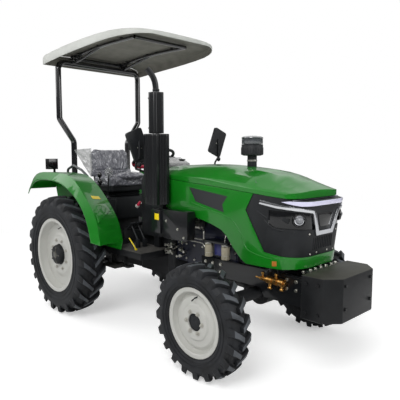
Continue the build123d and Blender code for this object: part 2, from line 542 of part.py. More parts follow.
def engine():
    """Upright engine under the bonnet: block with sump, manifolds, filters and their pipes."""
    body = block(990.5, 1640, -165, 165, 560, 1090, 12)
    sump = block(1060, WHEELBASE - 190, -120, 120, 490, 560, 20)
    head = block(1040, 1610, -120, 120, 1090, 1150, 16)
    fan = rod((1880, 0, 880), (1925, 0, 880), 60.0) + rod((1639, 0, 880), (1881, 0, 880), 30.0)
    for k in range(6):
        fan = fan + Pos(1900, 0, 880) * Rot(60 * k, 0, 0) * Pos(0, 0, 105) * Rot(0, 0, 25) * Box(6, 60, 110)
    add("engine", body + sump + head + fan)
    cans = []
    for x in FILTER_X:
        can = rod((x, FILTER_Y, 664), (x, FILTER_Y, 752), 31.0)
        cans.append(can + rod((x, FILTER_Y, 750), (x, FILTER_Y, 772), 25.0))
    rail = block(FILTER_X[0] - 40, FILTER_X[1] + 40, FILTER_Y - 28, FILTER_Y + 36, 770, 786)
    bracket = block(FILTER_X[0] - 10, FILTER_X[1] + 10, FILTER_Y + 34, -165.5, 755, 786)
    y = FILTER_Y - 20
    pipes = bent_tube([(1290, -215, 880), (1350, -215, 850), (1390, y, 840), (1390, y, 780)], 14, 6.0)
    pump = rod((1130, -215, 880), (1330, -215, 880), 34.0)
    for x in (1150.0, 1200.0, 1250.0, 1300.0):
        pump = pump + rod((x, -215, 880), (x, -215, 945), 11.0)
    pump = pump + block(1150, 1310, -215, -165.5, 850, 910)
    add("fuel_system", cans[0] + cans[1] + rail + bracket + pipes + pump)
    core = block(1960, 2030, -215, 215, FRAME_Z1 + 0.3, 1080)
    add("radiator", core)


# ---------------------------------------------------------------- bonnet
NOSE_Z0, NOSE_Z1 = 640.0, 1250.0
NOSE_REAR_X = 930.0
NOSE_FACE_X = 2000.0          # ahead of this the nose counts as its front face
WING_IN_Y = 240.0             # inboard of this the bright wing belongs to the V
NOSE_PLAN_LOW = corner_plan(NOSE_REAR_X, 1850, 360, 284, 3.5)
NOSE_PLAN_HIGH = corner_plan(NOSE_REAR_X, 1900, 360, 290, 5.5)
SHUT_GAP = 2.5


def inset_plan(half_plan, inset):
    """The outline from the right rear round the nose to the left rear, moved inward by a distance."""
    pts = [(x, -y) for x, y in half_plan] + [(x, y) for x, y in reversed(half_plan)]
    moved = []
    for k, (x, y) in enumerate(pts):
        before = pts[max(k - 1, 0)]
        after = pts[min(k + 1, len(pts) - 1)]
        tx, ty = after[0] - before[0], after[1] - before[1]
        size = math.hypot(tx, ty)
        moved.append((x - inset * ty / size, y + inset * tx / size))
    return moved


def nose_solid(inset, rear_x=NOSE_REAR_X):
    """The closed form of the bonnet's lower part, its walls moved inward by a distance."""
    low, high = inset_plan(NOSE_PLAN_LOW, inset), inset_plan(NOSE_PLAN_HIGH, inset)
    low[0], low[-1] = (rear_x, low[0][1]), (rear_x, low[-1][1])
    high[0], high[-1] = (rear_x, high[0][1]), (rear_x, high[-1][1])
    faces = [make_face(Plane.XY.offset(z) * Polyline(*plan, close=True))
             for z, plan in ((NOSE_Z0, low), (NOSE_Z1, high))]
    return loft(faces, ruled=True)


def nose_shell(inset, wall):
    """A wall of the bonnet's lower part, open at the rear, top and bottom."""
    inner = nose_solid(inset + wall, rear_x=NOSE_REAR_X - 30)
    return nose_solid(inset) - inner


HOOD_SECTIONS = smooth([
    # x, half width, shut-line z, skirt top z, crown edge z, crown z
    (HOOD_REAR_X, 290.0, 1222.0, 1242.0, 1284.0, 1312.0),
    (1100.0, 292.0, 1212.0, 1241.0, 1291.0, 1322.0),
    (1300.0, 292.0, 1196.0, 1237.0, 1293.0, 1328.0),
    (1500.0, 292.0, 1184.0, 1222.0, 1286.0, 1326.0),
    (1700.0, 292.0, 1168.0, 1196.0, 1266.0, 1313.0),
    (1880.0, 291.0, 1153.0, 1179.0, 1243.0, 1293.0),
    (2020.0, 289.0, 1140.0, 1168.0, 1215.0, 1257.0),
    (2110.0, 286.0, 1135.0, 1161.0, 1190.0, 1219.0),
    (2200.0, 282.0, 1130.0, 1153.0, 1164.0, 1174.0),
], 2)
HOOD_PLAN = corner_plan(800.0, 2000.0, 192.0, 294.0, 4.5)
BROW_X, BROW_Z = 2300.0, 1100.0         # where the brow above the light bar would come to a point
BROW_REAR_X = 2100.0


def hood_form(inset, drop):
    """The closed form of the bonnet's top, its skin moved inward by a distance."""
    faces = []
    for x, half, z0, z1, z2, z3 in HOOD_SECTIONS:
        h = half - inset
        right = [(-(h - 4), z0 - drop), (-h, z1 - inset * 0.5), (-h * 0.965, z1 + (z2 - z1) * 0.28 - inset),
                 (-h * 0.76, z2 - inset), (-h * 0.4, z2 + (z3 - z2) * 0.76 - inset)]
        left = [(-y, z) for y, z in reversed(right)]
        pts = right + [(0, z3 - inset)] + left
        faces.append(make_face(Plane.YZ.offset(x) * Polyline(*pts, close=True)))
    form = loft(faces, ruled=True)
    return form & up_extrude(inset_plan(HOOD_PLAN, inset), 0, FAR)


def hood():
    """Bonnet: top panel, side frames with the chin, mesh windows, nose, lamps and bright trim."""
    top = hood_form(0, 0) - Pos(-HOOD_WALL, 0, 0) * hood_form(HOOD_WALL, 1.0)
    top = top - rod((STACK_X, 0, BROW_Z), (STACK_X, 0, FAR), STACK_R + 0.5)
    add("bonnet_top", top)

    below_top = [(row[0], row[2] - SHUT_GAP) for row in HOOD_SECTIONS if row[0] < BROW_X - 150.0]
    under_line = [(HOOD_REAR_X, 0), *below_top, (BROW_X, BROW_Z), (BROW_X, 0)]
    under = across(under_line)
    nose_zone = across(NOSE_OUTLINE)
    frame = (nose_shell(0, HOOD_WALL) & across(SIDE_FRAME) & under) - across(WINDOW) - nose_zone

    mesh = nose_shell(HOOD_WALL + 0.2, 4.0) & across(WINDOW_BACK)
    add("side_mesh", *mesh.solids())

    nose_back = across(NOSE_BACK)
    black = nose_shell(HOOD_WALL + 0.4, 5.0) & nose_back & under
    inside = nose_solid(HOOD_WALL + 5.0) & nose_back & under
    brow = inside & block(BROW_REAR_X, FAR, -FAR, FAR, 0, FAR)
    brow = brow - Pos(0, 0, -PLATE) * across(under_line)
    lamp_zone = front_extrude(LAMP, NOSE_FACE_X, FAR)
    lamp_zone = lamp_zone + mirror_y(lamp_zone)
    add("grille_nose", black + brow - lamp_zone)
    bezels = nose_shell(HOOD_WALL + 5.4, 12.0) & nose_back & lamp_zone
    lenses = []
    lens_x, lens_y, lens_z, lens_r = LAMP_LENS
    for solid in bezels.solids():
        sign = 1 if solid.center().Y > 0 else -1
        face = Vector(lens_x, sign * lens_y, lens_z)
        out = Vector(0.7071, sign * 0.7071, 0)
        lenses.append(solid + rod(tuple(face - out * 66), tuple(face - out * 7), lens_r))
    add("headlamps", *lenses)

    add("light_bar", nose_shell(-4.0, HOOD_WALL + 4.3) & across(LIGHT_BAR))
    trim = nose_shell(-6.0, HOOD_WALL + 6.3)
    v_line = TRIM_V_IN + [(-y, z) for y, z in reversed(TRIM_V_IN)]
    v_line = v_line + [(-y, z) for y, z in reversed(TRIM_V_OUT)] + TRIM_V_OUT
    v_bar = trim & front_extrude(v_line, NOSE_FACE_X, FAR)
    wing = (trim & across(TRIM_WING)) - block(0, FAR, -WING_IN_Y, WING_IN_Y, 0, FAR)
    add("chrome_trim", v_bar + wing)

    stem = rod((STACK_X, 0, 1280), (STACK_X, 0, 1392), STACK_R)
    bowl = rod((STACK_X, 0, 1390), (STACK_X, 0, 1490), 79.0) + stem
    lid = rod((STACK_X, 0, 1489), (STACK_X, 0, 1535), 76.0)
    add("air_precleaner", bowl + lid)
    inner = []
    for sign in (-1, 1):
        x, z = HOOD_HINGE_X, HOOD_HINGE_Z
        arm = block(x - 15, x + 60, sign * 210, sign * 222, z - 20, z + 15)
        arm = arm - rod((x, sign * 180, z), (x, sign * 240, z), 6.0 + PIN_FIT)
        drop = block(x + 30, x + 60, sign * 210, sign * 222, 1170, z)
        rib = block(x + 30, 1400, sign * 210, sign * 222, 1170, 1182)
        tie = block(1100, 1120, sign * 210, sign * 289, 1170, 1182)
        tie = tie + block(1380, 1400, sign * 210, sign * 289, 1170, 1182)
        inner.append(arm + drop + rib + tie)
    add("bonnet_side_frame", frame + inner[0] + inner[1])


# ---------------------------------------------------------------- operator's station
def cowl():
    """Instrument console with its cowl behind the bonnet, hinge pins, steering column and pedals."""
    x0, x1 = CONSOLE_X0, HOOD_HINGE_X - 70
    profile = [(x0 + 12, 720.5), (x1, 720.5), (x1, 1262), (x0 + 100, 1290), (x0 + 50, 1235), (x0 + 12, 1180)]
    console = side_extrude(profile, -CONSOLE_HALF_W, CONSOLE_HALF_W)
    console = fillet(console.edges().filter_by(Axis.Z).filter_by(lambda e: e.center().X > x1 - 1), 30)
    cluster = [(x0 + 80, 1250), (x1 - 30, 1250), (x1 - 6, 1318), (x1 - 130, 1368), (x1 - 180, 1340)]
    binnacle = side_extrude(cluster, -110, 110)
    wall = block(x1 - 5, x1 + 12, -200, 200, 720.5, 1190)
    web = [(x1 + 1, HOOD_HINGE_Z - 130), (x1 + 1, HOOD_HINGE_Z - 45), (HOOD_HINGE_X - 13, HOOD_HINGE_Z - 4),
           (HOOD_HINGE_X + 13, HOOD_HINGE_Z - 4), (HOOD_HINGE_X + 13, HOOD_HINGE_Z - 30)]
    for sign in (-1, 1):
        wall = wall + block(x1 - 105, x1 - 40, sign * 160, sign * 200, PLATFORM_Z + PLATE + 0.2, 725)
        y0, y1 = sorted((sign * 226, sign * 236))
        x, z = HOOD_HINGE_X, HOOD_HINGE_Z
        ear = side_extrude(web, y0, y1) + rod((x, y0, z), (x, y1, z), 14.0)
        pin = rod((x, sign * 204, z), (x, sign * 236, z), 6.0)
        foot = block(x1 + 1, x1 + 12, sign * 199, sign * 236, HOOD_HINGE_Z - 130, HOOD_HINGE_Z - 60)
        wall = wall + ear + pin + foot
    console = console + binnacle
    top = Vector(*STEER_TOP)
    foot = top - STEER_DIR * 230
    column = rod(tuple(foot), tuple(top - STEER_DIR * 20), 26.0)
    column = column + rod(tuple(top - STEER_DIR * 21), tuple(top + STEER_DIR * 8), 9.0)
    add("dash_console", console + wall + column)
    plane = Plane(origin=top, z_dir=STEER_DIR)
    ring = plane * Torus(STEER_WHEEL_R, 13.0)
    boss = plane * Pos(0, 0, -2) * Cylinder(34, 30)
    boss = boss - rod(tuple(top - STEER_DIR * 40), tuple(top + STEER_DIR * 8.5), 9.0 + PIN_FIT)
    spokes = []
    for k in range(3):
        a = 120 * k + 90
        spoke = Box(STEER_WHEEL_R - 20, 26, 9)
        spokes.append(plane * Rot(0, 0, a) * Pos(STEER_WHEEL_R / 2 + 8, 0, -4) * spoke)
    add("steering_wheel", ring + boss + spokes)
    pedals = []
    for x, y in ((640.0, -330.0), (640.0, -262.0), (640.0, 262.0)):
        plate = Pos(x - 40, y, 800) * Rot(0, 40, 0) * Box(10, 58, 84)
        arm = rod((x - 34, y, 802), (x + 50, y, 690), 8.0)
        foot = block(x + 34, x + 66, y - 12, y + 12, PLATFORM_Z + 5.2, 700)
        pedals.append(plate + arm + foot)
    add("pedals", *pedals)


def platform():
    """Floor plates beside the gearbox, their hangers and the steps."""
    floor = []
    for sign in (-1, 1):
        y0, y1 = sign * 152, sign * PLATFORM_HALF_W
        plate = block(PLATFORM_REAR_X, 900, y0, y1, PLATFORM_Z, PLATFORM_Z + PLATE)
        edge = block(PLATFORM_REAR_X, 900, y1 - sign * PLATE, y1, PLATFORM_Z - 45, PLATFORM_Z)
        front = block(900 - PLATE, 900, y0, y1, PLATFORM_Z - 45, PLATFORM_Z)
        hanger = block(420, 470, y0, y1, PLATFORM_Z - 60, PLATFORM_Z)
        step = block(300, 520, sign * 300, sign * 450, STEP_Z, STEP_Z + PLATE)
        legs = []
        for x in (320.0, 500.0):
            legs.append(block(x - 6, x + 6, sign * 310, sign * 350, STEP_Z, PLATFORM_Z))
        floor.append(plate + edge + front + hanger + step + legs)
    hump = block(240, 590, -157, 157, 722, 727)
    for sign in (-1, 1):
        hump = hump + block(240, 590, sign * 152, sign * 157, PLATFORM_Z, 727)
    add("platform", floor[0] + floor[1] + hump)


def fender(sign):
    """Rear fender: an arch from the tail to the platform, its rolled lip and its inner wall."""
    sections = []
    for y, outline in ((FENDER_OUT_Y, FENDER_LIP), (FENDER_EDGE_Y, FENDER_EDGE), (FENDER_IN_Y, FENDER_INNER)):
        sections.append((y, smooth(outline, 3)))
    faces = []
    for y, pts in sections:
        inner = []
        for x, z in reversed(pts):
            r = math.hypot(x, z - AXLE_Z)
            inner.append((x - x / r * FENDER_WALL, z - (z - AXLE_Z) / r * FENDER_WALL))
        faces.append(make_face(Plane.XZ.offset(-sign * y) * Polyline(*pts, *inner, close=True)))
    arch = loft(faces[0:2], ruled=True) + loft(faces[1:3], ruled=True)
    tail_x = FENDER_INNER[0][0] + 5
    wall_line = [(tail_x, FENDER_INNER[0][1] - 4)] + sections[2][1][1:]
    wall_line = wall_line + [(640, PLATFORM_Z + PLATE + 0.5), (-300, PLATFORM_Z + PLATE + 0.5)]
    y0, y1 = sorted((sign * FENDER_IN_Y, sign * (FENDER_IN_Y - 5)))
    return arch + side_extrude(wall_line, y0, y1)


def fenders():
    """Both fenders, their grab rails, tail lamps and the black end pieces."""
    rails, lamps = [], []
    for side, sign in SIDES.items():
        add(f"fender_{side}", fender(sign))
        y, back = sign * (FENDER_IN_Y - 18), sign * (FENDER_IN_Y - 5.5)
        pts = [(-241, y, 1180), (-241, y, 1262), (-131, y, 1302), (15, y, 1262), (119, y, 1206),
               (176, y, 1064)]
        rail = bent_tube(pts, 30, 11.0)
        feet = block(-255, -227, y, back, 1150, 1182) + block(160, 192, y, back, 1050, 1078)
        rails.append(rail + feet)
        x0, x1 = -440.0, -375.0
        lamp_y = sign * (FENDER_IN_Y + 10)
        lamp = block(x0, x1, lamp_y, lamp_y + sign * 100, 1262, 1362, 8)
        post = block(-402, -390, lamp_y + sign * 20, lamp_y + sign * 40, 1186, 1262)
        lamps.append(lamp + post)
    add("fender_rails", *rails)
    add("tail_lamps", *lamps)


def seat():
    """Seat on its base, with the side consoles and their levers."""
    pan_z = SEAT_Z - 45
    base = block(-60, 150, -185, 185, 801, 1000, 20) + block(-300, 0, -150, 150, 905, 1000)
    base = base + block(-180, 60, -140, 140, 1000, pan_z) + block(-240, 130, -215, 215, pan_z, SEAT_Z, 30)
    lean = Pos(-225, 0, SEAT_Z + 233) * Rot(0, -9, 0)
    base = base + lean * Pos(-45, 0, -90) * Box(14, 340, 376)
    cushion = block(-205, 150, -232, 232, SEAT_Z + 0.4, SEAT_Z + 95, 45)
    add("seat_cushion", fillet(cushion.edges().group_by(Axis.Z)[-1], 30))
    back = lean * Box(74, 440, 250)
    back = chamfer(back.edges().filter_by(lambda e: abs(e.length - 74) < 1).group_by(Axis.Z)[-1], 45)
    add("seat_backrest", fillet(back.edges(), 24))
    consoles, levers = [], []
    side = FENDER_IN_Y - 30
    for sign in (-1, 1):
        box = block(-90, 270, sign * 250, sign * side, 760, 1000, 20)
        legs = block(-60, 60, sign * 300, sign * side, PLATFORM_Z + 90, 765)
        legs = legs + block(-60, 60, sign * (side - 15), sign * (side + 24), PLATFORM_Z + 120, 990)
        consoles.append(box + legs + block(-50, 140, sign * 180, sign * 260, 900, 940))
        for x, z, y in LEVERS:
            plate = block(x - 20, x + 20, sign * (y - 18), sign * (y + 18), 1000.2, 1010)
            stick = rod((x, sign * y, 1005), (x + 22, sign * y, z), 6.0)
            stick = stick + Pos(x + 24, sign * y, z + 14) * Sphere(20)
            levers.append(stick + plate)
    add("seat_base", base + consoles[0] + consoles[1])
    add("control_levers", *levers)


def stack_and_boxes():
    """Exhaust pipe with its guards, side boxes and mirrors."""
    x, y = EXHAUST_X, EXHAUST_Y
    in_x, in_z = x - 21, GUARDS[0][1] + 25
    route = [(in_x, -165.3, in_z), (in_x, y, in_z), (x, y, in_z + 100), (x, y, 1935), (x - 40, y - 56, 2040)]
    add("exhaust_pipe", bent_tube(route, 80, EXHAUST_R))
    guards = []
    for half, z0, z1 in GUARDS:
        outer = block(x - half, x + half, y - half, y + half, z0, z1, half * 0.45)
        inner = block(x - half + 4, x + half - 4, y - half + 4, y + half - 4, z0 - 5, z1 - 4, half * 0.40)
        guard = outer - inner - rod((x, y, z0), (x, y, z1 + 50), EXHAUST_R + 0.5)
        guards.append(guard - rod((in_x, y, in_z), (in_x, y + 200, in_z), EXHAUST_R + 3.5))
    add("exhaust_guard", *guards)
    boxes = []
    for sign in (-1, 1):
        y0, y1 = sorted((sign * 308, sign * 385))
        plate = side_extrude([(1069, 808), (1080, 785), (1100, 773), (1330, 773), (1348, 785), (1355, 808),
                              (1355, 990), (1069, 990)], y0, y1)
        post = block(962, 1069.5, sign * 308, sign * 400, 805, 985)
        arm = block(975, 1060, sign * 190.5, sign * 308, 805, 930)
        boxes.append(plate + post + arm)
    add("side_boxes", *boxes)


def mirrors():
    """Mirror heads and the bent stays that carry them."""
    sides = []
    for x, y, z in MIRRORS:
        sign = 1 if y > 0 else -1
        head = Pos(x, y, z) * Rot(-22 * sign, 0, 0) * Box(22, 150, 235)
        head = fillet(head.edges().filter_by(lambda e: e.length < 30), 18)
        pts = [(780, sign * 217, 1240), (780, sign * 250, 1246), (x - 30, y, 1290), (x - 26, y, 1330),
               (x + 19, y, 1385), (x + 19, y, z + 30)]
        sides.append(bent_tube(pts, 12, 8.0) + head)
    add("mirrors", *sides)


def rops():
    """Roll-over hoop, its feet on the axle, and the canopy with its frame."""
    low, high = ROPS_LOW_HALF_W, ROPS_HALF_W
    pts = [(ROPS_X, -low, 650), (ROPS_X, -low, 1530), (ROPS_X, -high, 1740), (ROPS_X, -high, ROPS_TOP_Z),
           (ROPS_X, high, ROPS_TOP_Z), (ROPS_X, high, 1740), (ROPS_X, low, 1530), (ROPS_X, low, 650)]
    hoop = bent_tube(pts, 70, ROPS_TUBE_R)
    for sign in (-1, 1):
        foot = block(ROPS_X - 40, ROPS_X + 40, sign * (low - 40), sign * (low + 40), AXLE_Z + 40, 650)
        arm = block(ROPS_X - 30, 30, sign * (low - 30), sign * (low + 30), AXLE_Z + 40, AXLE_Z + 64)
        saddle = block(-60, 60, sign * (low - 30), sign * (low + 30), AXLE_Z + 40, AXLE_Z + 80)
        hoop = hoop + foot + arm + saddle
        hoop = hoop - rod((0, sign * 200, AXLE_Z), (0, sign * 450, AXLE_Z), TRUMPET_R + 0.4)

    y, r = CANOPY_FRAME_Y, CANOPY_TUBE_R
    for side in (CANOPY_FRAME[2::-1], CANOPY_FRAME[2:]):
        line = [(x, y, z) for x, z in side] + [(x, -y, z) for x, z in reversed(side)]
        hoop = hoop + bent_tube(line, 40, r)
    join_x, join_z = CANOPY_FRAME[2]
    for sign in (-1, 1):
        sleeve = rod((join_x - 30, sign * y, join_z - 1), (join_x + 30, sign * y, join_z + 1), r + 2)
        strut = rod((ROPS_X + 10, sign * y, ROPS_TOP_Z + 14), (join_x + 30, sign * y, join_z - 4), 12.0)
        post = block(ROPS_X - 26, ROPS_X + 26, sign * y - 16, sign * y + 16, ROPS_TOP_Z + ROPS_TUBE_R - 10,
                     CANOPY_FRAME[0][1] + 10)
        hoop = hoop + sleeve + strut + post
    add("rollover_hoop", hoop)

    forms = []
    sections = smooth(CANOPY_SECTIONS, 2)
    for inset in (0.0, CANOPY_WALL):
        faces = []
        for k, (x, half, ze, zt) in enumerate(sections):
            h = half - inset
            drops = [1.0 if inset else 0.0, inset * 0.5] + [inset] * 8
            right = [(-h * wide, ze + (zt - ze) * tall - drop)
                     for (wide, tall), drop in zip(CANOPY_PROFILE, drops)]
            left = [(-y, z) for y, z in reversed(right)]
            end = inset if k == 0 else -inset if k == len(sections) - 1 else 0.0
            outline = Polyline(*right, (0, zt - inset), *left, close=True)
            faces.append(make_face(Plane.YZ.offset(x + end) * outline))
        forms.append(loft(faces, ruled=True))
    add("canopy_roof", forms[0] - forms[1])


def export():
    """Moves every piece to the shared origin and writes one STEP file for each node."""
    os.makedirs("parts", exist_ok=True)
    for name, solid in parts.items():
        lift = 0.0 if name.startswith(ON_WHEELS) else LIFT
        placed = Pos(ORIGIN_X, 0, lift) * solid
        placed.label = name
        export_step(placed, f"parts/{name}.step")


def main():
    """Builds every sub-assembly, then writes the files."""
    wheels()
    front_axle()
    knuckles()
    tie_rod()
    drive_line()
    hitch()
    front_frame()
    engine()
    hood()
    cowl()
    platform()
    fenders()
    seat()
    stack_and_boxes()
    mirrors()
    rops()
    export()


main()
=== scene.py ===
"""Looks of a compact farm tractor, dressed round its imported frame.

Every sub-assembly of the tractor is a class that models and finishes its own pieces.
"""

from __future__ import annotations

import json
import logging
import math
import random
from collections.abc import Callable
from dataclasses import dataclass, field
from enum import Enum
from functools import cache

import bpy
from mathutils import Matrix, Vector, noise
from mathutils.bvhtree import BVHTree

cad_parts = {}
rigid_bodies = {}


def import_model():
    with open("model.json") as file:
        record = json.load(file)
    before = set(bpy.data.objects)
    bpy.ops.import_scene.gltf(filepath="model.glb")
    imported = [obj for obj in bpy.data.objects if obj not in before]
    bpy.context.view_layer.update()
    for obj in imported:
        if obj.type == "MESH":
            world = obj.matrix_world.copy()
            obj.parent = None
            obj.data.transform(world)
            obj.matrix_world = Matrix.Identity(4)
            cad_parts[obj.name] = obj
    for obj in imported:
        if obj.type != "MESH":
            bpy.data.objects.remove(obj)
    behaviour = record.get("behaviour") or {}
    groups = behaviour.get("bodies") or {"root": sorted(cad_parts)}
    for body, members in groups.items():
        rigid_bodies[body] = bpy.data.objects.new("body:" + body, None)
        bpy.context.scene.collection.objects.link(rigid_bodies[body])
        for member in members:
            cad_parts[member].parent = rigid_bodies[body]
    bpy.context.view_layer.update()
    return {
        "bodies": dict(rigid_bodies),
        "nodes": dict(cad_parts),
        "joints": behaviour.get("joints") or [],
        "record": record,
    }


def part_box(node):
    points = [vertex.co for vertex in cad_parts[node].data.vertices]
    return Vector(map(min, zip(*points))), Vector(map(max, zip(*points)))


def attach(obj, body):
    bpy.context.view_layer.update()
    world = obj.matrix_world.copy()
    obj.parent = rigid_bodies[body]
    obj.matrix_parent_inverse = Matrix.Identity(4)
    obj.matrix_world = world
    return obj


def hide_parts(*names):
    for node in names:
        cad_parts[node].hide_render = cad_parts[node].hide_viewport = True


log = logging.getLogger("tractor")

Point = tuple[float, float, float]
Outline = list[tuple[float, float]]


# ------------------------------------------------------------------ colour and node helpers
def linear(hex_colour: str) -> tuple[float, float, float, float]:
    """Turn an sRGB hex colour into a linear one.

    Args:
        hex_colour: Six hex digits, with or without a leading '#'.

    Returns:
        Linear red, green, blue and an alpha of one.
    """
    digits = hex_colour.lstrip("#")
    parts = [int(digits[i : i + 2], 16) / 255 for i in (0, 2, 4)]
    parts = [c / 12.92 if c <= 0.04045 else ((c + 0.055) / 1.055) ** 2.4 for c in parts]
    return (parts[0], parts[1], parts[2], 1.0)


def add_node(
    tree: bpy.types.NodeTree, kind: str, feeds: dict | None = None, **settings: object
) -> bpy.types.Node:
    """Add one node, set its properties and fill or link its inputs.

    Args:
        tree: The node tree that gets the node.
        kind: The node's type name.
        feeds: Input socket (name or index) to a plain value or to another node's output socket.
        settings: Properties of the node itself.

    Returns:
        The new node.
    """
    node = tree.nodes.new(kind)
    for key, value in settings.items():
        setattr(node, key, value)
    for socket, value in (feeds or {}).items():
        if isinstance(value, bpy.types.NodeSocket):
            tree.links.new(value, node.inputs[socket])
        else:
            node.inputs[socket].default_value = value
    return node


def start_material(name: str) -> tuple[bpy.types.Material, bpy.types.NodeTree]:
    """Make an empty node material.

    Args:
        name: The material's name.

    Returns:
        The material and its node tree.
    """
    material = bpy.data.materials.new(name)
    material.use_nodes = True
    material.node_tree.nodes.clear()
    return material, material.node_tree


# ------------------------------------------------------------------ finishes
@dataclass(frozen=True)
class Paint:
    """Sprayed two-pack enamel on pressed steel: deep colour, a clear gloss and a faint orange peel."""

    name: str
    colour: str
    shade: str
    roughness: float = 0.22
    coat: float = 0.6
    peel_mm: float = 6.0
    peel_depth_mm: float = 0.03
    drift_mm: float = 260.0
    sheen: float = 0.5

    def build(self) -> bpy.types.Material:
        """Build the paint, whose colour drifts a little over a panel as on a hand-sprayed part."""
        material, tree = start_material(self.name)
        place = add_node(tree, "ShaderNodeTexCoord").outputs["Object"]
        drift = add_node(
            tree, "ShaderNodeTexNoise", {"Vector": place, "Scale": 1000 / self.drift_mm, "Detail": 3.0}
        )
        blend = add_node(
            tree,
            "ShaderNodeMix",
            {0: drift.outputs["Fac"], 6: linear(self.colour), 7: linear(self.shade)},
            data_type="RGBA",
        )
        peel = add_node(
            tree, "ShaderNodeTexNoise", {"Vector": place, "Scale": 1000 / self.peel_mm, "Detail": 2.0}
        )
        bump = add_node(
            tree,
            "ShaderNodeBump",
            {"Height": peel.outputs["Fac"], "Distance": self.peel_depth_mm / 1000, "Strength": 0.6},
        )
        shader = add_node(
            tree,
            "ShaderNodeBsdfPrincipled",
            {
                "Base Color": blend.outputs[2],
                "Roughness": self.roughness,
                "Specular IOR Level": self.sheen,
                "Coat Weight": self.coat,
                "Coat Roughness": 0.05,
                "Normal": bump.outputs["Normal"],
            },
        )
        add_node(tree, "ShaderNodeOutputMaterial", {"Surface": shader.outputs["BSDF"]})
        return material


@dataclass(frozen=True)
class Moulded:
    """Moulded or cast matter with a fine surface grain: plastic, rubber, powder coat or cast iron."""

    name: str
    colour: str
    shade: str
    roughness: float = 0.55
    grain_mm: float = 1.5
    grain_depth_mm: float = 0.08
    stain_mm: float = 90.0
    sheen: float = 0.3
    coat: float = 0.0

    def build(self) -> bpy.types.Material:
        """Build the finish: a base colour stained in soft patches over a fine grain."""
        material, tree = start_material(self.name)
        place = add_node(tree, "ShaderNodeTexCoord").outputs["Object"]
        stain = add_node(
            tree, "ShaderNodeTexNoise", {"Vector": place, "Scale": 1000 / self.stain_mm, "Detail": 5.0}
        )
        ramp = add_node(tree, "ShaderNodeValToRGB", {0: stain.outputs["Fac"]})
        ramp.color_ramp.elements[0].position = 0.35
        ramp.color_ramp.elements[0].color = linear(self.colour)
        ramp.color_ramp.elements[1].position = 0.72
        ramp.color_ramp.elements[1].color = linear(self.shade)
        grain = add_node(
            tree, "ShaderNodeTexNoise", {"Vector": place, "Scale": 1000 / self.grain_mm, "Detail": 3.0}
        )
        bump = add_node(
            tree,
            "ShaderNodeBump",
            {"Height": grain.outputs["Fac"], "Distance": self.grain_depth_mm / 1000, "Strength": 0.8},
        )
        shader = add_node(
            tree,
            "ShaderNodeBsdfPrincipled",
            {
                "Base Color": ramp.outputs["Color"],
                "Roughness": self.roughness,
                "Specular IOR Level": self.sheen,
                "Coat Weight": self.coat,
                "Normal": bump.outputs["Normal"],
            },
        )
        add_node(tree, "ShaderNodeOutputMaterial", {"Surface": shader.outputs["BSDF"]})
        return material


@dataclass(frozen=True)
class Bright:
    """Plated, turned or drawn metal, its sheen broken by fine streaks along one direction."""

    name: str
    colour: str
    roughness: float = 0.12
    streak_mm: float = 0.8
    streak: tuple[float, float, float] = (1.0, 1.0, 12.0)

    def build(self) -> bpy.types.Material:
        """Build the metal with its streaks in the roughness."""
        material, tree = start_material(self.name)
        place = add_node(tree, "ShaderNodeTexCoord").outputs["Object"]
        along = add_node(tree, "ShaderNodeMapping", {"Vector": place, "Scale": self.streak})
        noise = add_node(
            tree,
            "ShaderNodeTexNoise",
            {"Vector": along.outputs["Vector"], "Scale": 1000 / self.streak_mm / 12, "Detail": 3.0},
        )
        rough = add_node(
            tree,
            "ShaderNodeMapRange",
            {"Value": noise.outputs["Fac"], "To Min": self.roughness * 0.7, "To Max": self.roughness * 1.5},
        )
        shader = add_node(
            tree,
            "ShaderNodeBsdfPrincipled",
            {"Base Color": linear(self.colour), "Metallic": 1.0, "Roughness": rough.outputs["Result"]},
        )
        add_node(tree, "ShaderNodeOutputMaterial", {"Surface": shader.outputs["BSDF"]})
        return material


@dataclass(frozen=True)
class Perforated:
    """Punched steel mesh: round holes in staggered rows, painted near black as the shade seen through them, between
    brighter webs.
    """

    name: str
    colour: str = "#232528"
    # near black for the holes: painted shade of what lies behind them
    hole: str = "#050506"
    pitch_mm: float = 9.0

    def build(self) -> bpy.types.Material:
        """Build the mesh from a cell pattern; the holes are drawn coarser than life so that they show, and are painted
        dark as painted shade.
        """
        material, tree = start_material(self.name)
        place = add_node(tree, "ShaderNodeTexCoord").outputs["Object"]
        cells = add_node(
            tree, "ShaderNodeTexVoronoi", {"Vector": place, "Scale": 1000 / self.pitch_mm, "Randomness": 0.0}
        )
        edge = add_node(
            tree,
            "ShaderNodeMapRange",
            {"Value": cells.outputs["Distance"], "From Min": 0.28, "From Max": 0.36},
        )
        blend = add_node(
            tree,
            "ShaderNodeMix",
            {0: edge.outputs["Result"], 6: linear(self.hole), 7: linear(self.colour)},
            data_type="RGBA",
        )
        bump = add_node(
            tree, "ShaderNodeBump", {"Height": edge.outputs["Result"], "Distance": 0.0012, "Strength": 0.8}
        )
        shader = add_node(
            tree,
            "ShaderNodeBsdfPrincipled",
            {"Base Color": blend.outputs[2], "Roughness": 0.5, "Normal": bump.outputs["Normal"]},
        )
        add_node(tree, "ShaderNodeOutputMaterial", {"Surface": shader.outputs["BSDF"]})
        return material


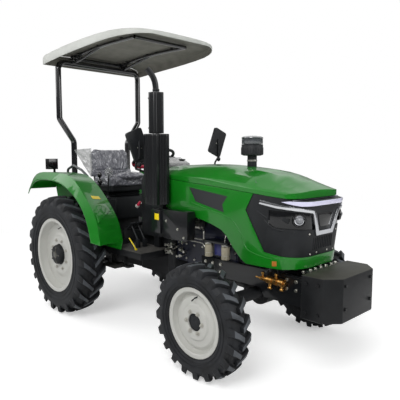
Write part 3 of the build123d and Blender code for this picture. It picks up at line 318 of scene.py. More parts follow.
@dataclass(frozen=True)
class Film:
    """Thin clear polythene over dark vinyl: the creases are painted pale as painted highlights, and flat parts show
    the vinyl.
    """

    name: str = "clear polythene over vinyl"
    vinyl: str = "#6f7078"
    # pale grey-white painted along the creases: a painted highlight
    crease: str = "#e3e5ea"
    crease_mm: float = 26.0
    opacity: float = 1.0

    def build(self) -> bpy.types.Material:
        """Build the film: stretched noise gives long creases, which set the bump and a pale colour along each crease
        as a painted highlight.
        """
        material, tree = start_material(self.name)
        place = add_node(tree, "ShaderNodeTexCoord").outputs["Object"]
        warp = add_node(tree, "ShaderNodeTexNoise", {"Vector": place, "Scale": 9.0, "Detail": 2.0})
        bent = add_node(
            tree,
            "ShaderNodeVectorMath",
            {0: warp.outputs["Color"], 1: (0.16, 0.16, 0.16), 2: place},
            operation="MULTIPLY_ADD",
        )
        stretch = add_node(
            tree, "ShaderNodeMapping", {"Vector": bent.outputs["Vector"], "Scale": (1.0, 1.6, 0.55)}
        )
        folds = add_node(
            tree,
            "ShaderNodeTexNoise",
            {
                "Vector": stretch.outputs["Vector"], "Scale": 1000 / self.crease_mm, "Detail": 5.0,
                "Roughness": 0.6
            },
            noise_type="RIDGED_MULTIFRACTAL",
        )
        # painted highlight: the colour runs from the vinyl to pale grey-white along the crease ridges
        ramp = add_node(tree, "ShaderNodeValToRGB", {0: folds.outputs["Fac"]})
        ramp.color_ramp.elements[0].position = 0.30
        ramp.color_ramp.elements[0].color = linear(self.vinyl)
        ramp.color_ramp.elements[1].position = 0.95
        ramp.color_ramp.elements[1].color = linear(self.crease)
        bump = add_node(
            tree, "ShaderNodeBump", {"Height": folds.outputs["Fac"], "Distance": 0.006, "Strength": 0.7}
        )
        shader = add_node(
            tree,
            "ShaderNodeBsdfPrincipled",
            {
                "Base Color": ramp.outputs["Color"],
                "Roughness": 0.22,
                "Coat Weight": 0.8,
                "Coat Roughness": 0.12,
                "Alpha": self.opacity,
                "Normal": bump.outputs["Normal"],
            },
        )
        add_node(tree, "ShaderNodeOutputMaterial", {"Surface": shader.outputs["BSDF"]})
        return material


@dataclass(frozen=True)
class Lens:
    """Clear moulded polycarbonate over a bright reflector, which reads as a pale or tinted gloss."""

    name: str
    colour: str
    roughness: float = 0.08
    glow: float = 0.0
    rib_mm: float = 6.0

    def build(self) -> bpy.types.Material:
        """Build the lens, with fine ribs under the gloss."""
        material, tree = start_material(self.name)
        place = add_node(tree, "ShaderNodeTexCoord").outputs["Object"]
        ribs = add_node(
            tree, "ShaderNodeTexWave", {
                "Vector": place, "Scale": 1000 / self.rib_mm / 6.28, "Distortion": 0.0
            }
        )
        bump = add_node(
            tree, "ShaderNodeBump", {"Height": ribs.outputs["Fac"], "Distance": 0.0006, "Strength": 0.5}
        )
        shader = add_node(
            tree,
            "ShaderNodeBsdfPrincipled",
            {
                "Base Color": linear(self.colour),
                "Roughness": self.roughness,
                "Coat Weight": 1.0,
                "Coat Roughness": 0.03,
                "Emission Color": linear(self.colour),
                "Emission Strength": self.glow,
                "Normal": bump.outputs["Normal"],
            },
        )
        add_node(tree, "ShaderNodeOutputMaterial", {"Surface": shader.outputs["BSDF"]})
        return material


class Coat(Enum):
    """Every finish on the tractor, by what it is in the maker's paint and parts list."""

    # sprayed enamel on pressed steel: wet-looking mid green
    GREEN = Paint("tractor green enamel", "#167c1c", "#0f6f16", roughness=0.3, coat=0.55, sheen=0.2)
    # baked ivory enamel on the wheels: soft off-white, less gloss
    IVORY = Paint("wheel ivory enamel", "#bdbdb8", "#b3b3ad", roughness=0.35, coat=0.25)
    # black enamel on tubes and plates: near black with crisp highlights
    BLACK = Paint("chassis black enamel", "#0f1012", "#141619", roughness=0.3, coat=0.35, sheen=0.3)
    # blue-black engine enamel
    ENGINE = Paint(
        "engine blue-black enamel", "#12172e", "#0c0f1b", roughness=0.4, coat=0.2, drift_mm=60, sheen=0.3
    )
    # the engine's own bracket paint: deep blue
    COBALT = Paint("cobalt bracket enamel", "#1c2270", "#151a58", roughness=0.4, coat=0.2, drift_mm=40)
    # powder-coated sheet: dark satin
    POWDER = Moulded(
        "black powder coat", "#0e0f11", "#151719", roughness=0.42, grain_mm=1.2, grain_depth_mm=0.05
    )
    # sand-cast iron in black primer: rough, slightly uneven
    CAST = Moulded(
        "cast iron in black primer", "#111214", "#1d1f22", roughness=0.6, grain_mm=2.5, grain_depth_mm=0.3
    )
    # bare steel under grease and dust: brown-grey, wet in patches
    GREASE = Moulded(
        "greased steel", "#4b4a42", "#26241f", roughness=0.35, grain_mm=6.0, grain_depth_mm=0.4, coat=0.3
    )
    # dusty top of the weight box, a lighter dark olive than its sides: dust and painted top light
    OLIVE = Moulded(
        "dusty weight box top", "#2f2f28", "#3a3a33", roughness=0.55, grain_mm=2.0, grain_depth_mm=0.05
    )
    # injection-moulded ABS: dark grey with a leathery grain
    PLASTIC = Moulded(
        "moulded black ABS", "#191b1d", "#1f2124", roughness=0.5, grain_mm=1.4, grain_depth_mm=0.06
    )
    # glossy ABS for the lamp housings
    GLOSS = Moulded(
        "gloss black ABS", "#0c0d0f", "#121316", roughness=0.15, grain_mm=4, grain_depth_mm=0.01, coat=0.5
    )
    # zinc-plated wheel bolts sprayed over with the wheel: ivory with a dull sheen
    BOLT_PAINT = Paint("ivory over wheel bolts", "#b4b2aa", "#99978f", roughness=0.4, coat=0.2, drift_mm=12)
    # vulcanised tread rubber: dark grey, dry, a little dusty
    RUBBER = Moulded("tread rubber", "#141517", "#232529", roughness=0.6, grain_mm=2.0, grain_depth_mm=0.12)
    # outer faces of the lugs, scuffed and dusty, and lighter than the walls partly as a painted highlight
    SCUFFED = Moulded(
        "scuffed lug faces", "#3a3d41", "#575b60", roughness=0.5, grain_mm=3.0, grain_depth_mm=0.15
    )
    # black enamel, wet-looking, on the hoop and the roof frame
    HOOP = Paint("gloss black enamel", "#0c0d11", "#101217", roughness=0.14, coat=1.0)
    # thermoformed acrylic-capped ABS roof: pale warm grey
    ROOF = Moulded(
        "pale grey roof shell", "#c6c8c3", "#bcbeb9", roughness=0.45, grain_mm=1.6, grain_depth_mm=0.05
    )
    # the roof shell's underside, brown-grey and dull: darker than the top as painted shade
    LINER = Moulded(
        "brown-grey roof liner", "#85837b", "#75736c", roughness=0.7, grain_mm=3.0, grain_depth_mm=0.1
    )
    # the same green enamel, darker as the painted shade of a sunk panel
    DEEP = Paint("deep green enamel", "#146a26", "#125f20", roughness=0.3, coat=0.4)
    # enamelled grab rails: slate grey with a soft sheen
    SLATE = Paint("slate rail enamel", "#33373c", "#2c3035", roughness=0.35, coat=0.3)
    # ribbed rubber floor mat, dusty
    MAT = Moulded("dusty rubber mat", "#4a4946", "#5a5855", roughness=0.8, grain_mm=2.5, grain_depth_mm=0.2)
    # smoked polycarbonate over the dials
    SMOKE = Lens("smoked dial cover", "#4d5054", roughness=0.12)
    # dull aluminium brow under the bonnet's lip
    BROW = Bright("satin aluminium", "#8d8f99", roughness=0.3)
    # decorative chromium plating
    CHROME = Bright("chromium plate", "#d4d6da", roughness=0.1)
    # zinc-plated bolts and tubes
    ZINC = Bright("zinc plate", "#b9b8b0", roughness=0.3)
    # brass couplings
    BRASS = Bright("cast brass", "#b98a4a", roughness=0.32)
    # cream filter canisters
    CREAM = Paint("cream filter enamel", "#a8a18c", "#968f7b", roughness=0.4, coat=0.2)
    # punched mesh, its holes painted dark as painted shade
    MESH = Perforated("punched mesh")
    # seat film, its pale creases painted highlights
    WRAP = Film()
    # the same film where nothing lies behind it: grey-white, half see-through, its pale creases painted highlights
    FLAP = Film("loose clear polythene", "#a9aaaa", "#e3e4e6", 30.0, 0.8)
    # daylight bar: pale lavender diffuser
    DAYLIGHT = Lens("daylight bar diffuser", "#d3d2ea", glow=0.12)
    # the same film, pulled tight over a knob: nearly clear between its creases, which are painted pale as painted
    # highlights
    CLING = Film("cling over the knob", "#9c9da0", "#f2f2f4", 20.0, 0.5)
    # headlamp lens
    CLEAR = Lens("headlamp lens", "#7c7e83", roughness=0.05)
    # red tail lens
    RED = Lens("red tail lens", "#a01014")
    AMBER = Lens("amber indicator lens", "#c8700c")
    # yellow vinyl plate, left blank
    YELLOW = Paint("blank yellow plate", "#f4da00", "#efd300", roughness=0.4, coat=0.2)
    ORANGE = Paint("orange marker", "#b9732a", "#a86522", roughness=0.4, coat=0.2)
    RED_KNOB = Moulded("red knob", "#b3203f", "#a31a36", roughness=0.35)
    MIRROR = Bright("mirror glass", "#e4e6e8", roughness=0.03)

    @property
    def material(self) -> bpy.types.Material:
        """The finish's material, built the first time it is asked for."""
        found = bpy.data.materials.get(self.value.name)
        return found or self.value.build()


# ------------------------------------------------------------------ modelling helpers
Place = Callable[[float, float], Vector]
Test = Callable[[Vector, Vector], bool]

AXLE_X = 841.0  # millimetres from the shared origin back to the rear axle


def at(x: float, y: float, z: float) -> Vector:
    """Turn a station given in millimetres from the rear axle into metres in the shared frame.

    Args:
        x: Distance ahead of the rear axle.
        y: Distance to the driver's left.
        z: Height above the ground.

    Returns:
        The same place in metres from the shared origin.
    """
    return Vector((x - AXLE_X, y, z)) / 1000


def rest() -> None:
    """Leave edit mode and deselect everything."""
    if bpy.context.object and bpy.context.object.mode != "OBJECT":
        bpy.ops.object.mode_set(mode="OBJECT")
    bpy.ops.object.select_all(action="DESELECT")


def hold(piece: bpy.types.Object) -> bpy.types.Object:
    """Make a piece the only one selected, and the active one."""
    rest()
    piece.select_set(True)
    bpy.context.view_layer.objects.active = piece
    return piece


def pick_faces(piece: bpy.types.Object, test: Test) -> int:
    """Enter edit mode with only the faces that pass a test selected.

    Args:
        piece: The piece to edit.
        test: Called with each face's centre and normal.

    Returns:
        How many faces were selected.
    """
    hold(piece)
    bpy.ops.object.mode_set(mode="EDIT")
    bpy.ops.mesh.select_mode(type="FACE")
    bpy.ops.mesh.select_all(action="DESELECT")
    bpy.ops.object.mode_set(mode="OBJECT")
    count = 0
    for face in piece.data.polygons:
        face.select = test(face.center, face.normal)
        count += face.select
    bpy.ops.object.mode_set(mode="EDIT")
    return count


def pick_edges(piece: bpy.types.Object, test: Callable[[Vector, Vector], bool]) -> int:
    """Enter edit mode with only the edges that pass a test selected.

    Args:
        piece: The piece to edit.
        test: Called with the two ends of each edge.

    Returns:
        How many edges were selected.
    """
    hold(piece)
    bpy.ops.object.mode_set(mode="EDIT")
    bpy.ops.mesh.select_mode(type="EDGE")
    bpy.ops.mesh.select_all(action="DESELECT")
    bpy.ops.object.mode_set(mode="OBJECT")
    verts = piece.data.vertices
    count = 0
    for edge in piece.data.edges:
        edge.select = test(verts[edge.vertices[0]].co, verts[edge.vertices[1]].co)
        count += edge.select
    bpy.ops.object.mode_set(mode="EDIT")
    return count


def close_up(piece: bpy.types.Object, fill: bool = False, gap: float = 1e-5) -> bpy.types.Object:
    """Merge doubled points, close open ends if asked, and turn every face outward.

    Args:
        piece: The piece to mend.
        fill: Whether open ends are closed with faces.
        gap: Points nearer than this become one, in metres.

    Returns:
        The piece.
    """
    hold(piece)
    bpy.ops.object.mode_set(mode="EDIT")
    bpy.ops.mesh.select_all(action="SELECT")
    bpy.ops.mesh.remove_doubles(threshold=gap)
    if fill:
        bpy.ops.mesh.fill_holes(sides=0)
    bpy.ops.mesh.select_all(action="SELECT")
    bpy.ops.mesh.normals_make_consistent(inside=False)
    rest()
    return piece


def work(piece: bpy.types.Object, kind: str, **settings: object) -> bpy.types.Object:
    """Add one modifier to a piece and apply it at once.

    Args:
        piece: The piece to change.
        kind: The modifier's type.
        settings: The modifier's properties.

    Returns:
        The piece.
    """
    hold(piece)
    modifier = piece.modifiers.new(kind.lower(), kind)
    for key, value in settings.items():
        setattr(modifier, key, value)
    bpy.ops.object.modifier_apply(modifier=modifier.name)
    return piece


def ease(piece: bpy.types.Object, width: float, segments: int = 2, degrees: float = 30.0) -> bpy.types.Object:
    """Break a piece's sharp edges with a small bevel, as pressing, casting or painting leaves them.

    Args:
        piece: The piece to bevel.
        width: The bevel's width in millimetres.
        segments: Faces across the bevel.
        degrees: Edges sharper than this are bevelled.

    Returns:
        The piece.
    """
    return work(
        piece,
        "BEVEL",
        width=width / 1000,
        segments=segments,
        limit_method="ANGLE",
        angle_limit=math.radians(degrees),
        harden_normals=False,
        use_clamp_overlap=True,
    )


def skin(name: str, columns: int, rows: int, place: Place) -> bpy.types.Object:
    """Lay a grid and put its points on a surface.

    Args:
        name: The piece's name.
        columns: Faces along the first parameter.
        rows: Faces along the second parameter.
        place: Gives each point from two parameters, each from 0 to 1.

    Returns:
        The open surface.
    """
    rest()
    bpy.ops.mesh.primitive_grid_add(x_subdivisions=columns, y_subdivisions=rows, size=1.0, location=(0, 0, 0))
    piece = bpy.context.object
    piece.name = name
    for vertex in piece.data.vertices:
        vertex.co = place(
            round((vertex.co.x + 0.5) * columns) / columns, round((vertex.co.y + 0.5) * rows) / rows
        )
    piece.data.update()
    return piece


def loft(name: str, sections: list[list[Vector]], fill: bool = True) -> bpy.types.Object:
    """Join closed outlines with the same number of points into one closed form.

    Args:
        name: The piece's name.
        sections: The outlines in order, in metres.
        fill: Whether the first and the last outline are closed with faces.

    Returns:
        The form.
    """
    around, along = len(sections[0]), len(sections) - 1
    piece = skin(name, around, along, lambda u, v: sections[round(v * along)][round(u * around) % around])
    return close_up(piece, fill=fill)


def prism(name: str, outline: list[Vector], push: Vector) -> bpy.types.Object:
    """Extrude a flat closed outline.

    Args:
        name: The piece's name.
        outline: Its corners in order, in metres.
        push: The direction and the length of the extrusion, in metres.

    Returns:
        The prism.
    """
    rest()
    bpy.ops.mesh.primitive_circle_add(vertices=len(outline), radius=1.0, fill_type="NGON", location=(0, 0, 0))
    piece = bpy.context.object
    piece.name = name
    for vertex, corner in zip(piece.data.vertices, outline):
        vertex.co = corner
    bpy.ops.object.mode_set(mode="EDIT")
    bpy.ops.mesh.select_all(action="SELECT")
    bpy.ops.mesh.extrude_region_move(TRANSFORM_OT_translate={"value": tuple(push)})
    bpy.ops.mesh.select_all(action="SELECT")
    bpy.ops.mesh.normals_make_consistent(inside=False)
    rest()
    return piece


def side_prism(name: str, outline: Outline, y0: float, y1: float) -> bpy.types.Object:
    """Extrude an outline of (x, z) stations across the tractor, all in millimetres from the rear axle."""
    return prism(name, [at(x, y0, z) for x, z in outline], Vector((0, (y1 - y0) / 1000, 0)))


def slab(name: str, low: Point, high: Point) -> bpy.types.Object:
    """Make a block between two corners in millimetres from the rear axle."""
    rest()
    a, b = at(*low), at(*high)
    bpy.ops.mesh.primitive_cube_add(size=1.0, location=(a + b) / 2, scale=b - a)
    piece = bpy.context.object
    piece.name = name
    return settle(piece)


def drum(
    name: str, start: Vector, end: Vector, radius: float, sides: int = 32, tip: float | None = None
) -> bpy.types.Object:
    """Make a round bar or a cone between two points.

    Args:
        name: The piece's name.
        start: Centre of the first end, in metres.
        end: Centre of the other end, in metres.
        radius: Radius of the first end, in millimetres.
        sides: Faces round it.
        tip: Radius of the other end, in millimetres, if it differs.

    Returns:
        The bar.
    """
    rest()
    along = end - start
    bpy.ops.mesh.primitive_cone_add(
        vertices=sides,
        radius1=radius / 1000,
        radius2=(radius if tip is None else tip) / 1000,
        depth=along.length,
        location=(start + end) / 2,
        rotation=along.to_track_quat("Z", "Y").to_euler(),
    )
    piece = bpy.context.object
    piece.name = name
    return settle(piece)


def ball(name: str, centre: Vector, radii: Point) -> bpy.types.Object:
    """Make a rounded knob with three radii in millimetres."""
    rest()
    bpy.ops.mesh.primitive_uv_sphere_add(
        segments=24, ring_count=14, radius=0.001, location=centre, scale=radii
    )
    piece = bpy.context.object
    piece.name = name
    return settle(piece)


def settle(piece: bpy.types.Object) -> bpy.types.Object:
    """Move a piece's place, turn and scale into its mesh, so that its object sits at the origin."""
    hold(piece)
    bpy.ops.object.transform_apply(location=True, rotation=True, scale=True)
    return piece


def spun(name: str, profile: Outline, centre: Vector, sign: float = 1.0, steps: int = 96) -> bpy.types.Object:
    """Spin a closed profile round an axle that lies across the tractor.

    Args:
        name: The piece's name.
        profile: Points of (distance outboard, radius) in millimetres.
        centre: The axle's middle, in metres.
        sign: 1 where outboard is to the driver's left, -1 to the right.
        steps: Faces round it.

    Returns:
        The ring.
    """
    rest()
    bpy.ops.mesh.primitive_circle_add(vertices=len(profile), radius=1.0, location=(0, 0, 0))
    piece = bpy.context.object
    piece.name = name
    for vertex, (out, radius) in zip(piece.data.vertices, profile):
        vertex.co = centre + Vector((0, sign * out, radius)) / 1000
    bpy.ops.object.mode_set(mode="EDIT")
    bpy.ops.mesh.select_all(action="SELECT")
    bpy.ops.mesh.spin(steps=steps, angle=2 * math.pi, center=centre, axis=(0, 1, 0))
    return close_up(piece)


def tube(name: str, points: list[Vector], radius: float, sides: int = 12, order: int = 3) -> bpy.types.Object:
    """Draw a pipe along a smooth line.

    Args:
        name: The piece's name.
        points: Control points in metres.
        radius: The pipe's radius in millimetres.
        sides: Faces round the pipe.
        order: The line's order; 2 keeps the corners.

    Returns:
        The pipe as a mesh with closed ends.
    """
    rest()
    bpy.ops.curve.primitive_nurbs_path_add(location=(0, 0, 0))
    piece = bpy.context.object
    piece.name = name
    piece.data.splines.clear()
    spline = piece.data.splines.new("NURBS")
    spline.points.add(len(points) - 1)
    for knot, point in zip(spline.points, points):
        knot.co = (*point, 1.0)
    spline.use_endpoint_u = True
    spline.order_u = order
    spline.resolution_u = 6
    piece.data.bevel_depth = radius / 1000
    piece.data.bevel_resolution = max(1, sides // 4 - 1)
    piece.data.use_fill_caps = True
    hold(piece)
    bpy.ops.object.convert(target="MESH")
    return close_up(bpy.context.object)


def twin(piece: bpy.types.Object, name: str, matrix: Matrix) -> bpy.types.Object:
    """Copy a piece, with a mesh of its own, to another place.

    Args:
        piece: The piece to copy.
        name: The copy's name.
        matrix: The move, turn or mirror from the piece to the copy.

    Returns:
        The copy.
    """
    rest()
    copy = bpy.data.objects.new(name, piece.data.copy())
    bpy.context.scene.collection.objects.link(copy)
    copy.data.transform(matrix)
    if matrix.determinant() < 0:
        copy.data.flip_normals()
    return copy


def mirrored(piece: bpy.types.Object, name: str) -> bpy.types.Object:
    """Copy a piece to the other side of the tractor."""
    return twin(piece, name, Matrix.Scale(-1, 4, (0, 1, 0)))


def gather(name: str, pieces: list[bpy.types.Object]) -> bpy.types.Object:
    """Join pieces into one and give it a name."""
    rest()
    for piece in pieces:
        piece.select_set(True)
    bpy.context.view_layer.objects.active = pieces[0]
    if len(pieces) > 1:
        bpy.ops.object.join()
    pieces[0].name = name
    return pieces[0]


def round_off(piece: bpy.types.Object, degrees: float = 35.0) -> bpy.types.Object:
    """Shade a piece smooth except across edges sharper than an angle."""
    hold(piece)
    bpy.ops.object.shade_smooth_by_angle(angle=math.radians(degrees))
    return piece


def recast(
    node: bpy.types.Object, name: str, width: float, segments: int = 2, degrees: float = 30.0
) -> bpy.types.Object:
    """Make a finer copy of a frame node, its faces made whole and its edges broken.

    Args:
        node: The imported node.
        name: The copy's name.
        width: Width of the broken edges in millimetres, or 0 for none.
        segments: Faces across a broken edge.
        degrees: Edges sharper than this are broken.

    Returns:
        The copy.
    """
    piece = twin(node, name, Matrix.Identity(4))
    hold(piece)
    bpy.ops.object.mode_set(mode="EDIT")
    bpy.ops.mesh.select_all(action="SELECT")
    bpy.ops.mesh.remove_doubles(threshold=2e-5)
    bpy.ops.mesh.dissolve_limited(angle_limit=math.radians(1.0))
    rest()
    if width > 0:
        ease(piece, width, segments, degrees)
    return round_off(piece, degrees + 5)


@dataclass(frozen=True)
class Fitting:
    """Where a finished piece belongs: its finish, its body and the node that it stands for."""

    coat: Coat
    body: str = "chassis"
    slot: str = ""
    stands_for: tuple[str, ...] = ()

    def fit(self, piece: bpy.types.Object, degrees: float = 35.0) -> bpy.types.Object:
        """Finish a piece and let it ride.

        Args:
            piece: The piece, complete.
            degrees: Edges sharper than this stay sharp in the shading.

        Returns:
            The piece.
        """
        settle(piece)
        round_off(piece, degrees)
        piece.data.materials.clear()
        piece.data.materials.append(self.coat.material)
        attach(piece, self.body)
        if self.stands_for:
            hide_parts(*self.stands_for)
        log.info("fitted %s in %s on %s", piece.name, self.coat.value.name, self.body)
        return piece


@cache
def surface_of(name: str) -> BVHTree:
    """The surface of a frame node, by its name, for finding places on it."""
    mesh = bpy.data.objects[name].data
    return BVHTree.FromPolygons([v.co for v in mesh.vertices], [tuple(f.vertices) for f in mesh.polygons])


def touch(node: bpy.types.Object, start: Vector, aim: Point) -> tuple[Vector, Vector]:
    """Find where a straight line first meets a frame node.

    Args:
        node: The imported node.
        start: Where the line starts, in metres.
        aim: The line's direction.

    Returns:
        The point that it meets and the surface's outward normal there.
    """
    place, normal, _, _ = surface_of(node.name).ray_cast(start, Vector(aim).normalized())
    if place is None:
        raise ValueError(f"nothing of {node.name} lies along {tuple(aim)} from {tuple(start)}")
    return place, normal


def second_coat(piece: bpy.types.Object, coat: Coat, test: Test) -> bpy.types.Object:
    """Give the faces that pass a test another finish.

    Args:
        piece: The finished piece.
        coat: The other finish.
        test: Called with each face's centre and normal.

    Returns:
        The piece.
    """
    piece.data.materials.append(coat.material)
    index = len(piece.data.materials) - 1
    for face in piece.data.polygons:
        if test(face.center, face.normal):
            face.material_index = index
    return piece


# ------------------------------------------------------------------ wheels
class Side(Enum):
    """Which side of the tractor, as its driver sees it."""

    RIGHT = -1
    LEFT = 1

    @property
    def word(self) -> str:
        """The side in the node names."""
        return self.name.lower()


def along(profile: Outline, steps: int) -> Outline:
    """Round a line of points with a smooth curve through them.

    Args:
        profile: The points.
        steps: Parts that each span is divided into.

    Returns:
        The denser line.
    """
    out: Outline = []
    for k in range(len(profile) - 1):
        a, b = profile[max(k - 1, 0)], profile[k]
        c, d = profile[k + 1], profile[min(k + 2, len(profile) - 1)]
        for n in range(steps):
            t = n / steps
            w = (
                -t / 2 + t * t - t**3 / 2,
                1 - 2.5 * t * t + 1.5 * t**3,
                t / 2 + 2 * t * t - 1.5 * t**3,
                (t**3 - t * t) / 2,
            )
            out.append(tuple(w[0] * p + w[1] * q + w[2] * r + w[3] * s for p, q, r, s in zip(a, b, c, d)))
    out.append(profile[-1])
    return out


@dataclass
class Wheel:
    """One wheel: drive tyre, pressed rim with its dished disc, hub, wheel bolts and valve. Sizes in millimetres."""

    axle: str
    side: Side
    x: float
    track: float
    radius: float
    width: float
    bead: float
    rim_width: float
    lug_height: float
    lugs: int
    disc_out: float
    disc: Outline
    hub: Outline
    bolt_circle: float
    bolts: int
    valve: tuple[float, float]
    lug_lean: float
    lug_share: float  # a lug's foot as a share of the pitch

    @property
    def centre(self) -> Vector:
        """Middle of the wheel in the shared frame."""
        return at(self.x, self.side.value * self.track / 2, self.radius)

    @property
    def body(self) -> str:
        """The body that the wheel turns with."""
        return f"{self.axle}_wheel_{self.side.word}"

    def build(self) -> None:
        """Build the whole wheel."""
        self.tyre()
        self.rim()
        self.hub_and_bolts()
        self.valve_stem()

    def carcass_line(self) -> Outline:
        """Half of the tyre's outside, from the middle of the tread to the bead, as (out, radius)."""
        w, crown = self.width / 2, self.radius - self.lug_height
        belly = self.bead * 0.45 + crown * 0.55
        foot = self.bead + 19.0
        return along(
            [
                (0.0, crown),
                (w * 0.45, crown - 3.0),
                (w * 0.74, crown - self.lug_height * 0.45),
                (w * 0.90, crown - self.lug_height * 1.15),
                (w * 0.97, belly + (crown - belly) * 0.35),
                (w * 0.985, belly),
                (w * 0.95, belly * 0.5 + foot * 0.5),
                (self.rim_width / 2 - 1.0, foot + 5.0),
                (self.rim_width / 2 - 8.5, foot),
                (self.rim_width / 2 - 8.5, self.bead + 1.0),
            ],
            3,
        )

    def carcass_radius(self, out: float) -> float:
        """Radius of the carcass at a distance from the tread's middle."""
        line = self.carcass_line()
        for (a, ra), (b, rb) in zip(line, line[1:]):
            if a <= out <= b:
                return ra + (rb - ra) * (out - a) / max(b - a, 1e-6)
        return line[0][1]

    def lug(self) -> bpy.types.Object:
        """Model one lug at the top of the wheel, from past the tread's middle out to the side wall."""
        w = self.width / 2
        pitch = 2 * math.pi / self.lugs
        half, lean = w * 0.86, w * 0.86 * self.lug_lean / self.radius
        wide = pitch * self.lug_share
        stations = [
            # share of the way out, drop of the top below the full radius in lug heights, width in shares
            (-0.07, 0.02, 0.80),
            (0.0, 0.0, 0.92),
            (0.3, 0.02, 0.90),
            (0.62, 0.12, 0.96),
            (0.88, 0.26, 1.10),
            (1.0, 0.40, 1.22),
            (1.075, 0.90, 1.26),
            (1.12, 1.75, 1.20),
            (1.13, 2.7, 1.0),
        ]
        sections = []
        for share, drop, broad in stations:
            out = half * share
            middle = -lean * (abs(share) ** 0.92 if share > 0 else 0.0) + wide / 2
            top = self.radius - self.lug_height * drop
            base = min(self.carcass_radius(abs(out)), top) - 7.0
            spread = wide * broad * 0.5
            row = []
            for radius, turn in (
                (base, -spread * 1.32),
                (top - 1.5, -spread * 0.90),
                (top, -spread * 0.78),
                (top, spread * 0.78),
                (top - 1.5, spread * 0.90),
                (base, spread * 1.32),
            ):
                angle = middle + turn
                row.append(Vector((radius * math.sin(angle), out, radius * math.cos(angle))) / 1000)
            sections.append(row)
        piece = loft(f"{self.body}_lug", sections)
        return ease(piece, 2.2, 2, 38.0)

    def tyre(self) -> None:
        """Model the tyre: a spun carcass with ribs on its side walls and two rows of lugs."""
        line = self.carcass_line()
        ribs = []
        for out, radius in line:
            ribs.append((out, radius))
        outline = [(-o, r) for o, r in reversed(ribs)] + ribs[1:]
        outline += [(ribs[-1][0] - 20, self.bead + 1.0), (-ribs[-1][0] + 20, self.bead + 1.0)]
        pieces = [spun(f"{self.body}_carcass", outline, Vector((0, 0, 0)), 1.0, 88)]
        for at_share in (0.12, 0.55, 0.86):
            belly = self.bead * 0.45 + (self.radius - self.lug_height) * 0.55
            radius = belly * (1 - at_share) + (self.bead + 19.0) * at_share
            for sign in (-1, 1):
                out = sign * self.skin_out(radius)
                ring = [(out - 3, radius - 3.5), (out + sign * 1.0, radius - 2.6), (out + sign * 1.7, radius),
                        (out + sign * 1.0, radius + 2.6), (out - 3, radius + 3.5)]
                pieces.append(spun(f"{self.body}_rib", ring, Vector((0, 0, 0)), 1.0, 88))
        one = self.lug()
        pitch = 2 * math.pi / self.lugs
        for row, lead in ((-1, 0.0), (1, pitch / 2)):
            for k in range(self.lugs):
                turn = Matrix.Rotation(lead + k * pitch, 4, "Y")
                if row < 0:
                    turn = turn @ Matrix.Scale(-1, 4, (0, 1, 0))
                pieces.append(twin(one, f"{self.body}_lug_{row}_{k}", turn))
        bpy.data.objects.remove(one)
        piece = gather(f"{self.axle}_tyre_{self.side.word}_rubber", pieces)
        piece.data.transform(Matrix.Translation(self.centre))
        Fitting(Coat.RUBBER, self.body, "tyre_rubber", (f"{self.axle}_tyre_{self.side.word}",)).fit(piece, 40)
        # the lugs' outer faces get a lighter colour: scuff and dust, and partly a painted highlight
        second_coat(piece, Coat.SCUFFED, self.is_lug_face)

    def is_lug_face(self, centre: Vector, normal: Vector) -> bool:
        """Whether a face is the worn outer face of a lug, which gets a lighter colour that is partly a painted
        highlight.
        """
        from_axle = centre - self.centre
        out = abs(from_axle.y) * 1000
        from_axle.y = 0
        above = from_axle.length * 1000 - min(self.carcass_radius(out), self.radius - self.lug_height)
        return above > self.lug_height * 0.45 and normal.dot(from_axle.normalized()) > 0.75

    def skin_out(self, radius: float) -> float:
        """Distance out of the side wall at a radius below the shoulder."""
        line = [p for p in self.carcass_line() if p[0] > self.width * 0.4]
        best = min(line, key=lambda p: abs(p[1] - radius))
        return best[0]

    def rim(self) -> None:
        """Model the rim: a drop-centre barrel with curled flanges, and the dished disc with its step."""
        w, seat = self.rim_width / 2, self.bead - 1.0
        lip = self.bead + 19.0
        outside = [
            (w - 8.0, seat), (w - 7.0, lip - 7), (
                w - 4.5, lip - 1.5
            ), (w - 1.5, lip), (w, lip - 3.5), (w - 1.0, lip - 9),
            (w - 1.6, seat - 4),
        ]
        inside = [(w - 6, seat - 9), (w * 0.62, seat - 11), (w * 0.45, seat - 22), (w * 0.18, seat - 26)]
        half = inside[::-1] + outside[::-1]
        outer = [(w * 0.18, seat - 20), (w * 0.42, seat - 16), (w * 0.6, seat - 4), (w - 8.0, seat)]
        profile = [(-o, r) for o, r in reversed(half)] + half
        profile += [(o, r) for o, r in reversed(outer)] + [(-o, r) for o, r in outer]
        sign = float(self.side.value)
        barrel = spun(f"{self.body}_barrel", profile, self.centre, sign, 112)
        disc = spun(f"{self.body}_disc", self.disc, self.centre, sign, 112)
        piece = gather(f"{self.body}_pressing", [barrel, disc])
        Fitting(Coat.IVORY, self.body, "ivory_paint", (self.body,)).fit(piece, 38)

    def hub_and_bolts(self) -> None:
        """Model the hub behind the disc and the wheel bolts with their washers."""
        sign = float(self.side.value)
        hub = spun(f"{self.body}_hub", self.hub, self.centre, sign, 64)
        Fitting(Coat.CAST, self.body, "cast_black").fit(ease(hub, 1.5, 2, 35))
        if self.axle == "rear":
            self.hub_face()
        bolts = []
        for k in range(self.bolts):
            angle = 2 * math.pi * (k + 0.5) / self.bolts
            spot = Vector((self.bolt_circle * math.sin(angle), 0, self.bolt_circle * math.cos(angle))) / 1000
            face = self.centre + spot + Vector((0, sign * (self.disc_out + 3), 0)) / 1000
            outward = Vector((0, sign, 0)) / 1000
            bolts.append(drum("washer", face - outward * 2, face + outward * 3.5, 14.5, 24))
            bolts.append(drum("hexagon", face + outward * 3, face + outward * 12, 11.0, 6, 10.4))
            bolts.append(drum("stud", face + outward * 10, face + outward * 17, 6.2, 16, 5.2))
        piece = gather(f"{self.body}_bolts", bolts)
        Fitting(Coat.BOLT_PAINT, self.body, "ivory_paint").fit(ease(piece, 0.7, 2, 35))

